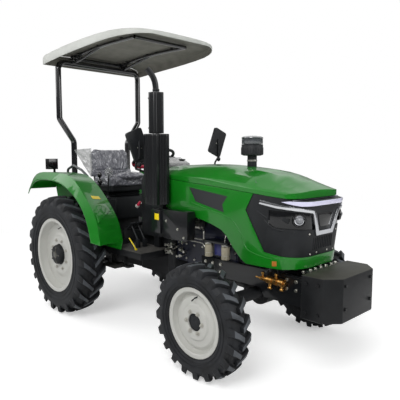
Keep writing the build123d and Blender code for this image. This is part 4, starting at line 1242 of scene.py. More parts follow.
    def hub_face(self) -> None:
        """Dress the end of the rear hub: a greased nut and five ribs, each with a screw at its outer end."""
        out = Vector((0, self.side.value, 0)) / 1000
        face = self.centre + out * 96.0
        turn = Matrix.Translation(face)
        parts = [ease(drum("nut", face - out, face + out * 3.2, 34.0, 6, 31.0), 1.5, 2)]
        for k in range(5):
            spoke = Matrix.Rotation(2 * math.pi * k / 5 + 0.3, 4, "Y")
            foot = turn @ spoke @ Vector((0, 0, 0.026))
            end = turn @ spoke @ Vector((0, 0, 0.066))
            parts.append(ease(drum("rib", foot + out * 0.4, end + out * 0.4, 5.0, 8, 3.2), 0.6, 1))
            parts.append(ease(drum("screw", end - out, end + out * 3.2, 8.0, 6), 0.6, 1))
        Fitting(Coat.GREASE, self.body, "cast_black").fit(gather(f"{self.body}_hub_face", parts))

    def valve_stem(self) -> None:
        """Model the valve stem with its knurled cap."""
        sign, (radius, angle) = float(self.side.value), self.valve
        a = math.radians(angle)
        foot = self.centre + Vector((radius * math.sin(a), 0, radius * math.cos(a))) / 1000
        out = Vector((0, sign, 0)) / 1000
        inner = Vector((-math.sin(a), 0, -math.cos(a))) / 1000
        parts = [
            drum("stem", foot + out * (self.disc_out - 20), foot + out * (self.disc_out + 8), 5.0, 16),
            drum(
                "stem_neck", foot + out * (self.disc_out + 6), foot + out * (self.disc_out + 22) + inner * 8,
                3.6, 16
            ),
            drum(
                "cap", foot + out * (self.disc_out + 20) + inner * 7,
                foot + out * (self.disc_out + 34) + inner * 14, 4.8, 10, 4.2
            ),
        ]
        Fitting(Coat.PLASTIC, self.body, "black_plastic").fit(ease(gather(f"{self.body}_valve", parts), 0.6))


def wheel_set() -> list[Wheel]:
    """The four wheels with their sizes."""
    rear_disc = [
        (47, 92), (53, 92), (
            53, 150
        ), (53, 172), (49, 180), (39, 200), (36, 215), (36, 262), (36, 284), (28, 284),
        (28, 262), (28, 213), (33, 194), (43, 174), (45, 150),
    ]
    rear_hub = [
        (29, 155), (45, 155), (45, 84), (80, 84), (88, 80), (94, 66), (97, 40), (97, 0.2), (
            -55, 0.2
        ), (-55, 96),
        (29, 96),
    ]
    front_disc = [
        (45, 56), (53, 56), (55, 60), (
            55, 108
        ), (53, 112), (47, 116), (45, 120), (45, 150), (43, 158), (34, 168),
        (30, 174), (30, 190), (22, 190), (22, 170), (30, 154), (37, 148), (37, 116), (45, 106),
    ]
    front_hub = [(29, 90), (44, 90), (44, 44), (46, 43), (48, 38), (48, 0.2), (-29, 0.2), (-29, 56), (29, 56)]
    wheels = []
    for side in Side:
        wheels.append(
            Wheel("rear", side, 0.0, 1260.0, 520.0, 240.0, 305.0, 210.0, 30.0, 22, 50.0, rear_disc, rear_hub, 130.0, 8,
                  (250.0, 10.0), 0.95, 0.31)
        )
        wheels.append(
            Wheel("front", side, 1750.0, 1270.0, 365.0, 168.0, 203.0, 138.0, 25.0, 20, 52.0, front_disc, front_hub,
                  69.85, 6, (160.0, 4.0), 0.72, 0.36)
        )
    return wheels


# ------------------------------------------------------------------ rigid pieces kept in the frame's shape
@dataclass
class Pressings:
    """Castings, tubes and sheet pieces that keep the frame's shape and only get their edges broken."""

    nodes: dict[str, bpy.types.Object]
    bodies: dict[str, str]
    table: list[tuple[str, Coat, float]] = field(
        default_factory=lambda: [
            # node, finish, width of the broken edges in millimetres
            ("gearbox_and_axle", Coat.CAST, 4.0),
            ("drive_shaft", Coat.BLACK, 1.5),
            ("drawbar", Coat.BLACK, 1.5),
            ("front_frame", Coat.BLACK, 2.0),
            ("front_weight_box", Coat.POWDER, 4.0),
            ("engine", Coat.ENGINE, 3.0),
            ("fuel_system", Coat.BLACK, 1.5),
            ("radiator", Coat.BLACK, 2.0),
            ("front_axle", Coat.CAST, 3.0),
            ("dash_console", Coat.PLASTIC, 6.0),
            ("pedals", Coat.PLASTIC, 1.5),
            ("platform", Coat.POWDER, 1.5),
            ("seat_base", Coat.PLASTIC, 4.0),
            ("control_levers", Coat.BLACK, 1.0),
            ("side_boxes", Coat.BLACK, 3.0),
            ("rollover_hoop", Coat.HOOP, 1.0),
            ("knuckle_left", Coat.CAST, 2.0),
            ("knuckle_right", Coat.CAST, 2.0),
            ("tie_rod", Coat.ZINC, 1.0),
            ("steering_wheel", Coat.PLASTIC, 1.0),
            ("lower_links", Coat.BLACK, 1.0),
            ("lift_arms", Coat.CAST, 2.0),
            ("lift_rods", Coat.BLACK, 1.0),
            ("top_link", Coat.BLACK, 1.0),
            ("pto_shaft", Coat.ZINC, 1.0),
        ]
    )

    accents: dict[str, list[tuple[Coat, Test]]] = field(
        default_factory=lambda: {
            # faces of a piece that carry another finish
            "fuel_system": [
                (Coat.CREAM, lambda centre, normal: centre.z < 0.769 and centre.y < -0.198),
                (Coat.ZINC, lambda centre, normal: centre.z > 0.80),
            ],
            # up-facing faces of the weight box get a lighter colour: dust, and painted top light
            "front_weight_box": [(Coat.OLIVE, lambda centre, normal: normal.z > 0.9)],
        }
    )

    def build(self) -> None:
        """Recast every listed node with broken edges and smooth rounds."""
        for name, coat, width in self.table:
            piece = recast(self.nodes[name], f"{name}_finished", width)
            if name == "front_weight_box":
                self.set_back(piece)
            Fitting(coat, self.bodies[name], stands_for=(name,)).fit(piece)
            for other, test in self.accents.get(name, []):
                second_coat(piece, other, test)

    @staticmethod
    def set_back(piece: bpy.types.Object) -> None:
        """Set the weight box's front plate back by the height of its bolt heads."""
        for vertex in piece.data.vertices:
            if vertex.co.x > at(2470, 0, 0).x:
                vertex.co.x -= 0.0095




# ------------------------------------------------------------------ bonnet, nose and lamps
@dataclass
class Bonnet:
    """Bonnet panels with their marks in painted recess shade, pressed creases, nose, lamps, badge recess and bright
    trim.
    """

    nodes: dict[str, bpy.types.Object]
    mark: list[Point] = field(default_factory=lambda: [
        (1838, -214, 1400), (1868, -255, 1400), (2120, -238, 1400)
    ])
    creases: list[tuple[str, Coat, float, Outline]] = field(
        default_factory=lambda: [
            # node it lies on, finish, radius, stations of (x, z) on the side
            (
                "bonnet_side_frame", Coat.GREEN, 4.5,
                [(1774, 872), (1801, 808), (1844, 768), (1960, 748), (2030, 742)]
            ),
            (
                "bonnet_side_frame", Coat.GREEN, 3.5,
                [(1300, 1050), (1450, 1018), (1600, 990), (1712, 966), (1774, 880)]
            ),
            ("grille_nose", Coat.PLASTIC, 6.0, [(1905, 1040), (1950, 1018), (1992, 998)]),
            (
                "grille_nose", Coat.PLASTIC, 7.0,
                [(1966, 990), (1992, 962), (2040, 938), (2110, 930), (2170, 928)]
            ),
        ]
    )
    screws: list[tuple[float, float]] = field(
        default_factory=lambda: [(-155, 912), (155, 912), (-132, 782), (132, 782), (-62, 786), (62, 786)]
    )
    ribs: int = 11
    rib_pitch: float = 21.0
    lens: tuple[float, float, float] = (2199.0, 236.0, 1003.0)

    def build(self) -> None:
        """Build every piece of the bonnet."""
        self.panels()
        self.marks()
        self.pressed_creases()
        for sign, side in ((-1, "right"), (1, "left")):
            self.headlamp(sign, side)
        self.nose_front()
        self.brow()

    def panels(self) -> None:
        """Finish the pressed panels, the mesh, the nose, the light bar and the bright trim."""
        rows = [
            ("bonnet_top", Coat.GREEN, 3.0),
            ("bonnet_side_frame", Coat.GREEN, 2.5),
            ("side_mesh", Coat.MESH, 0.0),
            ("grille_nose", Coat.PLASTIC, 2.0),
            ("headlamps", Coat.GLOSS, 3.0),
            ("light_bar", Coat.DAYLIGHT, 2.5),
            ("chrome_trim", Coat.CHROME, 3.0),
        ]
        for name, coat, width in rows:
            piece = recast(self.nodes[name], f"{name}_finished", width, 3)
            Fitting(coat, "bonnet", stands_for=(name,)).fit(piece, 14 if name == "bonnet_top" else 35)

    def on_side(self, node: str, x: float, z: float, sign: int = -1) -> tuple[Vector, Vector]:
        """Find the outer surface of a node from the tractor's side, at a station in millimetres."""
        return touch(self.nodes[node], at(x, sign * 600, z), (0, -sign, 0))

    def marks(self) -> None:
        """Lay a long three-cornered plate on each shoulder of the bonnet, a little proud of it, in darker green as the
        painted shade of a sunk mark.
        """
        corners = [touch(self.nodes["bonnet_top"], at(*corner), (0, 0, -1)) for corner in self.mark]
        up = sum((normal for _, normal in corners), Vector()).normalized()
        plate = prism("bonnet_mark_right", [place - up * 0.003 for place, _ in corners], up * 0.0042)
        ease(plate, 1.0, 2)
        left = mirrored(plate, "bonnet_mark_left")
        for piece in (plate, left):
            # the darker green stands in for the shade in a sunk mark: painted shade
            Fitting(Coat.DEEP, "bonnet", slot="green_paint").fit(piece)

    def pressed_creases(self) -> None:
        """Raise the rounded creases that stiffen the side frames and edge the lamps."""
        for number, (node, coat, radius, stations) in enumerate(self.creases):
            points = []
            for x, z in stations:
                place, normal = self.on_side(node, x, z)
                points.append(place - normal * (radius * 0.45 / 1000))
            bead = tube(f"pressed_crease_right_{number}", points, radius, 12)
            other = mirrored(bead, f"pressed_crease_left_{number}")
            for piece in (bead, other):
                Fitting(coat, "bonnet").fit(piece, 60)

    def headlamp(self, sign: int, side: str) -> None:
        """Fit a projector with its bright ring, domed lens and angular inner housing.

        Args:
            sign: 1 on the driver's left, -1 on the right.
            side: The side's name.
        """
        x, y, z = self.lens
        face = at(x, sign * y, z)
        out = Vector((math.sqrt(0.5), sign * math.sqrt(0.5), 0))
        ring = drum("ring", face - out * 0.012, face + out * 0.004, 45.0, 40, 40.0)
        bpy.ops.object.select_all(action="DESELECT")
        pick_faces(ring, lambda centre, normal: normal.dot(out) > 0.95)
        bpy.ops.mesh.inset(thickness=0.008)
        bpy.ops.mesh.extrude_region_move(TRANSFORM_OT_translate={"value": tuple(-out * 0.010)})
        rest()
        ease(ring, 1.2, 2)
        ring.name = f"lamp_ring_{side}"
        Fitting(Coat.GLOSS, "bonnet", slot="lamp_black").fit(ring)
        bowl = drum("bowl", face - out * 0.010, face - out * 0.003, 33.0, 36, 31.0)
        ease(bowl, 1.5, 2)
        bowl.name = f"lamp_reflector_{side}"
        Fitting(Coat.CHROME, "bonnet", slot="chrome").fit(bowl)
        lens = ball(f"lamp_lens_{side}", face - out * 0.004, (25.0, 25.0, 25.0))
        Fitting(Coat.CLEAR, "bonnet", slot="lamp_lens").fit(lens, 180)
        shelf = [at(x - 118, sign * 262, 1028), at(x - 118, sign * 262, 1000), at(x - 62, sign * 262, 978)]
        shelf = shelf + [at(x - 50, sign * 262, 1006)]
        inner = prism(f"lamp_inner_box_{side}", shelf, Vector((0, sign * 0.008, 0)))
        ease(inner, 3.0, 2)
        Fitting(Coat.PLASTIC, "bonnet", slot="black_plastic").fit(inner)

    def nose_front(self) -> None:
        """Fit the badge recess, left blank, the ribs below it and the nose's screws."""
        nose = self.nodes["grille_nose"]
        outline = [
            (-78, 1036), (78, 1036), (82, 1024), (58, 958), (48, 950), (-48, 950), (-58, 958), (-82, 1024)
        ]
        corners = [touch(nose, at(2600, y, z), (-1, 0, 0))[0] for y, z in outline]
        plate = prism(
            "badge_recess", [corner - Vector((0.004, 0, 0)) for corner in corners], Vector((0.008, 0, 0))
        )
        ease(plate, 2.5, 3)
        Fitting(Coat.GLOSS, "bonnet", slot="lamp_black").fit(plate)
        bars = []
        for k in range(self.ribs):
            y = (k - (self.ribs - 1) / 2) * self.rib_pitch
            foot, _ = touch(nose, at(2600, y, 808), (-1, 0, 0))
            head, _ = touch(nose, at(2600, y, 884), (-1, 0, 0))
            bars.append(tube("rib", [foot, (foot + head) / 2, head], 4.5, 12))
        Fitting(Coat.PLASTIC, "bonnet", slot="black_plastic").fit(gather("nose_ribs", bars), 60)
        heads = []
        for y, z in self.screws:
            place, normal = touch(nose, at(2600, y, z), (-1, 0, 0))
            head = drum("screw", place, place + normal * 0.004, 7.0, 20, 4.5)
            heads.append(ease(head, 0.8, 2))
        Fitting(Coat.ZINC, "bonnet", slot="bright_steel").fit(gather("nose_screws", heads))

    def brow(self) -> None:
        """Lay the satin strip above the light bar and the orange marker, left blank, on the chin."""
        strip = []
        for y in (-262, -230, -180, -110, -40, 40, 110, 180, 230, 262):
            place, normal = touch(self.nodes["grille_nose"], at(2600, y, 1123), (-1, 0, 0))
            strip.append(place - normal * 0.002)
        Fitting(Coat.BROW, "bonnet", slot="bright_steel").fit(tube("brow_strip", strip, 7.0, 12), 60)
        corners = [
            self.on_side("bonnet_side_frame", x, z) for x,
            z in ((2030, 732), (2062, 735), (2062, 703), (2030, 700))
        ]
        out = corners[0][1]
        marker = prism("chin_marker", [place - out * 0.001 for place, _ in corners], out * 0.0025)
        Fitting(Coat.ORANGE, "bonnet").fit(ease(marker, 0.4, 1))


# ------------------------------------------------------------------ roof and fenders
@dataclass
class Roof:
    """Moulded sunshade on its tube frame, with its pads and bolts."""

    node: bpy.types.Object
    middle: Point = (150.0, 0.0, 2290.0)
    bolts: list[tuple[float, float]] = field(
        default_factory=lambda: [(-300, -280), (-300, 280), (60, -280), (60, 280), (420, -280), (420, 280)]
    )

    frame: Outline = field(
        default_factory=lambda: [(-420, 2334), (-150, 2358), (60, 2365), (250, 2369), (610, 2359)]
    )
    tube_mm: float = 16.5

    def build(self) -> None:
        """Finish the shell outside and, in a darker painted shade, inside, and bolt it down through rubber pads."""
        shell = recast(self.node, "roof_shell", 8.0, 3, 40.0)
        Fitting(Coat.ROOF, "chassis", slot="canopy_plastic", stands_for=("canopy_roof",)).fit(shell, 50)
        heart = at(*self.middle)
        # faces turned in towards the roof's middle get the darker underside colour: painted shade
        second_coat(shell, Coat.LINER, lambda centre, normal: normal.dot(centre - heart) < 0)
        self.frame_tubes()
        tops, pads = [], []
        for x, y in self.bolts:
            place, normal = touch(self.node, at(x, y, 2600), (0, 0, -1))
            tops.append(ease(
                drum("roof bolt", place - normal * 0.001, place + normal * 0.0042, 11.0, 6), 1.0, 1
            ))
            under, _ = touch(self.node, at(x, y, 2100), (0, 0, 1))
            pads.append(ease(drum("pad", under - Vector((0, 0, 0.004)), under, 16.0, 20), 1.0, 2))
        Fitting(Coat.ZINC, slot="bright_steel").fit(gather("roof_bolts", tops))
        Fitting(Coat.PLASTIC, slot="black_plastic").fit(gather("roof_pads", pads))


    def frame_tubes(self) -> None:
        """Sleeve the tube frame under the shell in gloss black, with its two cross tubes and gusset clamps."""
        pieces = []
        for sign in (-1, 1):
            pieces.append(tube("rail", [at(x, sign * 280, z) for x, z in self.frame], self.tube_mm, 20))
            for x in (-395.0, -330.0):
                clamp = slab("clamp", (x - 14, sign * 280 - 24, 2306), (x + 14, sign * 280 + 24, 2352))
                pieces.append(ease(clamp, 4.0, 2))
        for x, z in (self.frame[0], self.frame[-1]):
            pieces.append(tube("cross", [at(x, -280, z), at(x, 0, z), at(x, 280, z)], self.tube_mm, 20))
        Fitting(Coat.HOOP, slot="black_paint").fit(gather("roof_frame_tubes", pieces), 40)


@dataclass
class Fenders:
    """Rear fenders with rolled lips, a facet on the front corner, grab rails, plates and tail lamps."""

    nodes: dict[str, bpy.types.Object]
    lip: Outline = field(
        default_factory=lambda: [
            (-452, 1040), (-395, 1112), (-256, 1178), (-30, 1186), (185, 1167), (338, 1107), (466, 1033),
            (556, 943), (613, 844), (653, 724),
        ]
    )
    facet: list[Point] = field(
        # x, y and how far the corner stands off the panel
        default_factory=lambda: [(587, -702, 1.0), (511, -525, 1.0), (558, -515, 7.0), (688, -704, 13.0)]
    )
    plate: list[tuple[float, float]] = field(
        default_factory=lambda: [(489, -647), (456, -553), (482, -551), (516, -645)]
    )

    def build(self) -> None:
        """Build both fenders."""
        for side, sign in (("right", -1), ("left", 1)):
            node = self.nodes[f"fender_{side}"]
            panel = recast(node, f"fender_{side}_panel", 2.5, 3, 25.0)
            Fitting(Coat.GREEN, slot="green_paint", stands_for=(node.name,)).fit(panel, 13)
            self.trim(node, side, sign)
            self.tail_lamp(side, sign)
        for name, coat in (("fender_rails", Coat.SLATE), ("tail_lamps", Coat.GLOSS)):
            Fitting(coat, stands_for=(name,)).fit(recast(self.nodes[name], f"{name}_finished", 1.5, 3))
        self.warning_plate()

    def trim(self, node: bpy.types.Object, side: str, sign: int) -> None:
        """Roll the lip's edge and press the bright facet into the front corner.

        Args:
            node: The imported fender.
            side: The side's name.
            sign: 1 on the driver's left, -1 on the right.
        """
        edge = tube(f"fender_{side}_rolled_lip", [at(x, sign * 748, z) for x, z in self.lip], 4.0, 12)
        Fitting(Coat.GREEN, slot="green_paint").fit(edge, 60)
        corners = [(touch(node, at(x, -sign * y, 1500), (0, 0, -1)), lift) for x, y, lift in self.facet]
        up = sum((normal for (_, normal), _ in corners), Vector()).normalized()
        outline = [place + up * (lift - 16.0) / 1000 for (place, _), lift in corners]
        facet = prism(f"fender_{side}_facet", outline, up * 0.016)
        Fitting(Coat.GREEN, slot="green_paint").fit(ease(facet, 2.0, 3), 20)

    def warning_plate(self) -> None:
        """Rivet a blank yellow plate to the right fender's shoulder."""
        corners = [touch(self.nodes["fender_right"], at(x, y, 1500), (0, 0, -1)) for x, y in self.plate]
        up = corners[0][1]
        plate = prism("fender_plate_right", [place + up * 0.0005 for place, _ in corners], up * 0.0015)
        Fitting(Coat.YELLOW).fit(ease(plate, 0.5, 1))

    def tail_lamp(self, side: str, sign: int) -> None:
        """Fit the red and amber lenses to the back of a tail lamp.

        Args:
            side: The side's name.
            sign: 1 on the driver's left, -1 on the right.
        """
        y0 = sign * 480.0
        for name, coat, low, high in (("red", Coat.RED, 1268, 1316), ("amber", Coat.AMBER, 1318, 1356)):
            lens = slab(
                f"tail_lens_{name}_{side}", (-446, min(y0, y0 + sign * 100) + 8, low),
                (-438, max(y0, y0 + sign * 100) - 8, high)
            )
            Fitting(coat, slot="lamp_lens").fit(ease(lens, 3.0, 3))


# ------------------------------------------------------------------ exhaust, precleaner and mirrors
@dataclass
class Stack:
    """Exhaust pipe in its two fluted guards, and the precleaner bowl on the bonnet."""

    nodes: dict[str, bpy.types.Object]
    x: float = 1014.0
    y: float = -385.0
    guards: list[tuple[float, float, float]] = field(
        default_factory=lambda: [
            # half width, foot z, top z
            (75.0, 1025.0, 1556.0),
            (44.0, 1561.0, 1865.0),
        ]
    )
    flutes: int = 3
    bowl: tuple[float, float] = (1630.0, 0.0)

    def build(self) -> None:
        """Build the pipe, its guards and the precleaner."""
        self.pipe()
        sleeves = [self.guard(*row) for row in self.guards]
        sleeve = gather("exhaust_guard_fluted", sleeves)
        Fitting(Coat.BLACK, stands_for=("exhaust_guard",)).fit(sleeve, 40)
        self.clamps()
        self.precleaner()

    def pipe(self) -> None:
        """Bend the pipe: out of the manifold, up through the guards and away at the top, with an open end."""
        x, y = self.x, self.y
        line = [
            (x - 21, -166, 1050), (x - 21, y + 70, 1050), (x - 20, y, 1052), (x, y, 1130), (x, y, 1400),
            (x, y, 1700)
        ]
        line = line + [(x, y, 1890), (x - 3, y - 5, 1942), (x - 14, y - 20, 1990), (x - 38, y - 53, 2036)]
        piece = tube("exhaust_pipe_bent", [at(*point) for point in line], 22.5, 32, 4)
        tip, out = at(*line[-1]), (at(*line[-1]) - at(*line[-2])).normalized()
        pick_faces(piece, lambda centre, normal: normal.dot(out) > 0.9 and (centre - tip).length < 0.004)
        bpy.ops.mesh.inset(thickness=0.002)
        bpy.ops.mesh.extrude_region_move(TRANSFORM_OT_translate={"value": tuple(-out * 0.035)})
        rest()
        Fitting(Coat.BLACK, stands_for=("exhaust_pipe",)).fit(piece, 45)

    def outline(self, half: float, depth: float) -> list[tuple[float, float]]:
        """Plan of a guard: a square with rounded corners, each side pressed into upright flutes.

        Args:
            half: Half the guard's width in millimetres.
            depth: Depth of the flutes in millimetres.

        Returns:
            Points round the plan, about its middle.
        """
        points = []
        per_side, corner = 36, 0.26
        for side in range(4):
            turn = math.pi / 2 * side
            for k in range(per_side):
                u = -1 + 2 * k / per_side
                run, rise = u * half, half
                if abs(u) > 1 - corner:
                    bend = (abs(u) - (1 - corner)) / corner
                    rise = half - half * corner * (1 - math.cos(bend * math.pi / 4)) * 1.2
                    run = math.copysign(half * (1 - corner + corner * math.sin(bend * math.pi / 4) * 0.9), u)
                elif abs(u) < 0.52:
                    rise = half - depth * (0.5 - 0.5 * math.cos((u + 0.52) / 1.04 * 2 * math.pi * self.flutes))
                points.append((
                    run * math.cos(turn) + rise * math.sin(turn), rise * math.cos(turn) - run * math.sin(turn)
                ))
        return points

    def guard(self, half: float, foot: float, top: float) -> bpy.types.Object:
        """Press one guard with its flat ends, flutes and lid.

        Args:
            half: Half the guard's width in millimetres.
            foot: Height of its foot.
            top: Height of its top.

        Returns:
            The guard.
        """
        plan = self.outline(half, half * 0.16)
        rows = [(foot, 1.0), (foot + 18, 1.0), (top - 18, 1.0), (top - 3, 1.0), (top, 0.985)]
        sections = [[at(self.x + px * s, self.y + py * s, z) for px, py in plan] for z, s in rows]
        sleeve = loft("guard", sections, fill=False)
        work(sleeve, "SOLIDIFY", thickness=0.003, offset=-1.0)
        lid = loft(
            "lid",
            [[at(self.x + px * 0.97, self.y + py * 0.97, z) for px, py in plan] for z in (top - 6, top - 3)]
        )
        return gather("guard", [sleeve, ease(lid, 0.6, 1)])

    def clamps(self) -> None:
        """Band the pipe where it leaves the upper guard and screw the guards to their brackets."""
        bands = []
        for z in (1872.0,):
            band = drum("band", at(self.x, self.y, z), at(self.x, self.y, z + 16), 26.0, 36)
            bands.append(ease(band, 2.0, 2))
        for z in (1075.0, 1480.0, 1600.0, 1820.0):
            half = 75.0 if z < 1560 else 44.0
            for dx in (-half * 0.8, half * 0.8):
                start = at(self.x + dx, self.y - half + 1, z)
                bands.append(ease(drum("screw", start, start - Vector((0, 0.0035, 0)), 5.5, 6), 0.6, 1))
        Fitting(Coat.POWDER).fit(gather("guard_fixings", bands))

    def precleaner(self) -> None:
        """Build the cyclone bowl: ribbed black base, smoky band with its seam, domed lid and clamp."""
        x, y = self.bowl
        base = self.turned(
            "precleaner_bowl",
            [(34, 1392), (60, 1393), (79, 1400), (79, 1452), (77, 1456), (77, 1474), (40, 1476)]
        )
        Fitting(Coat.PLASTIC, "bonnet", slot="black_plastic", stands_for=("air_precleaner",)).fit(base)
        band = self.turned(
            "precleaner_band", [(60, 1476), (74, 1477), (75.5, 1480), (75.5, 1512), (72, 1514), (60, 1515)]
        )
        Fitting(Coat.SMOKE, "bonnet", slot="lamp_black").fit(band)
        lid = self.turned(
            "precleaner_lid",
            [(20, 1514), (76, 1515), (78, 1519), (76, 1525), (62, 1531), (30, 1534.5), (6, 1535)]
        )
        Fitting(Coat.SMOKE, "bonnet", slot="lamp_black").fit(lid)
        stem = self.turned("precleaner_stem", [(20, 1281), (34, 1281), (34, 1350), (34, 1392), (20, 1392)])
        Fitting(Coat.PLASTIC, "bonnet", slot="black_plastic").fit(stem)
        clamp = self.turned(
            "precleaner_clamp", [(33, 1352), (36, 1352.5), (36.5, 1358), (36, 1363.5), (33, 1364)]
        )
        Fitting(Coat.ZINC, "bonnet", slot="bright_steel").fit(clamp)
        fins = []
        for k in range(24):
            angle = 2 * math.pi * k / 24
            out = Vector((math.cos(angle), math.sin(angle), 0))
            foot = at(x, y, 1404) + out * 0.0785
            fins.append(drum("fin", foot, foot + Vector((0, 0, 0.044)), 2.2, 8))
        Fitting(Coat.PLASTIC, "bonnet", slot="black_plastic").fit(gather("precleaner_fins", fins))

    def turned(self, name: str, profile: Outline) -> bpy.types.Object:
        """Turn a profile of (radius, height) about the precleaner's upright axis."""
        x, y = self.bowl
        steps = 64
        sections = []
        for k in range(len(profile)):
            radius, z = profile[k]
            ring = [
                at(
                    x + radius * math.cos(2 * math.pi * n / steps),
                    y + radius * math.sin(2 * math.pi * n / steps), z
                )
                for n in range(steps)
            ]
            sections.append(ring)
        return loft(name, sections)


@dataclass
class Mirrors:
    """Mirror heads on bent stays, with glass to the rear, a clamp knob and two screws."""

    node: bpy.types.Object
    heads: list[tuple[str, Point]] = field(
        default_factory=lambda: [("right", (865.0, -450.0, 1475.0)), ("left", (848.0, 450.0, 1511.0))]
    )
    lean_deg: float = 22.0

    def build(self) -> None:
        """Finish the stays and heads, then set in the glass."""
        Fitting(
            Coat.PLASTIC, stands_for=("mirrors",)
        ).fit(recast(self.node, "mirrors_finished", 4.0, 3, 40.0))
        for side, middle in self.heads:
            sign = 1 if middle[1] > 0 else -1
            turn = Matrix.Translation(at(*middle)) @ Matrix.Rotation(
                math.radians(-self.lean_deg * sign), 4, "X"
            )
            glass = slab("glass", (AXLE_X - 12.6, -66, -108), (AXLE_X - 10.0, 66, 108))
            glass.name = f"mirror_glass_{side}"
            self.round_corners(glass)
            glass.data.transform(turn)
            Fitting(Coat.MIRROR, slot="chrome").fit(glass, 20)
            parts = []
            for y, z in ((-16.0, -18.0), (16.0, -32.0)):
                start = Vector((0.0108, y / 1000, z / 1000))
                parts.append(ease(drum("screw", start, start + Vector((0.003, 0, 0)), 6.0, 6), 0.6, 1))
            screws = gather(f"mirror_screws_{side}", parts)
            screws.data.transform(turn)
            Fitting(Coat.ZINC, slot="bright_steel").fit(screws)
            stay = at(middle[0] + 19, middle[1], middle[2] - 150)
            knob = ball(f"mirror_knob_{side}", stay, (17.0, 17.0, 21.0))
            Fitting(Coat.PLASTIC, slot="black_plastic").fit(knob, 180)

    @staticmethod
    def round_corners(piece: bpy.types.Object) -> None:
        """Round the four corners of a thin plate that stands across the tractor."""
        pick_edges(piece, lambda a, b: abs(a.x - b.x) > 1e-5)
        bpy.ops.mesh.bevel(offset=0.024, segments=6)
        rest()


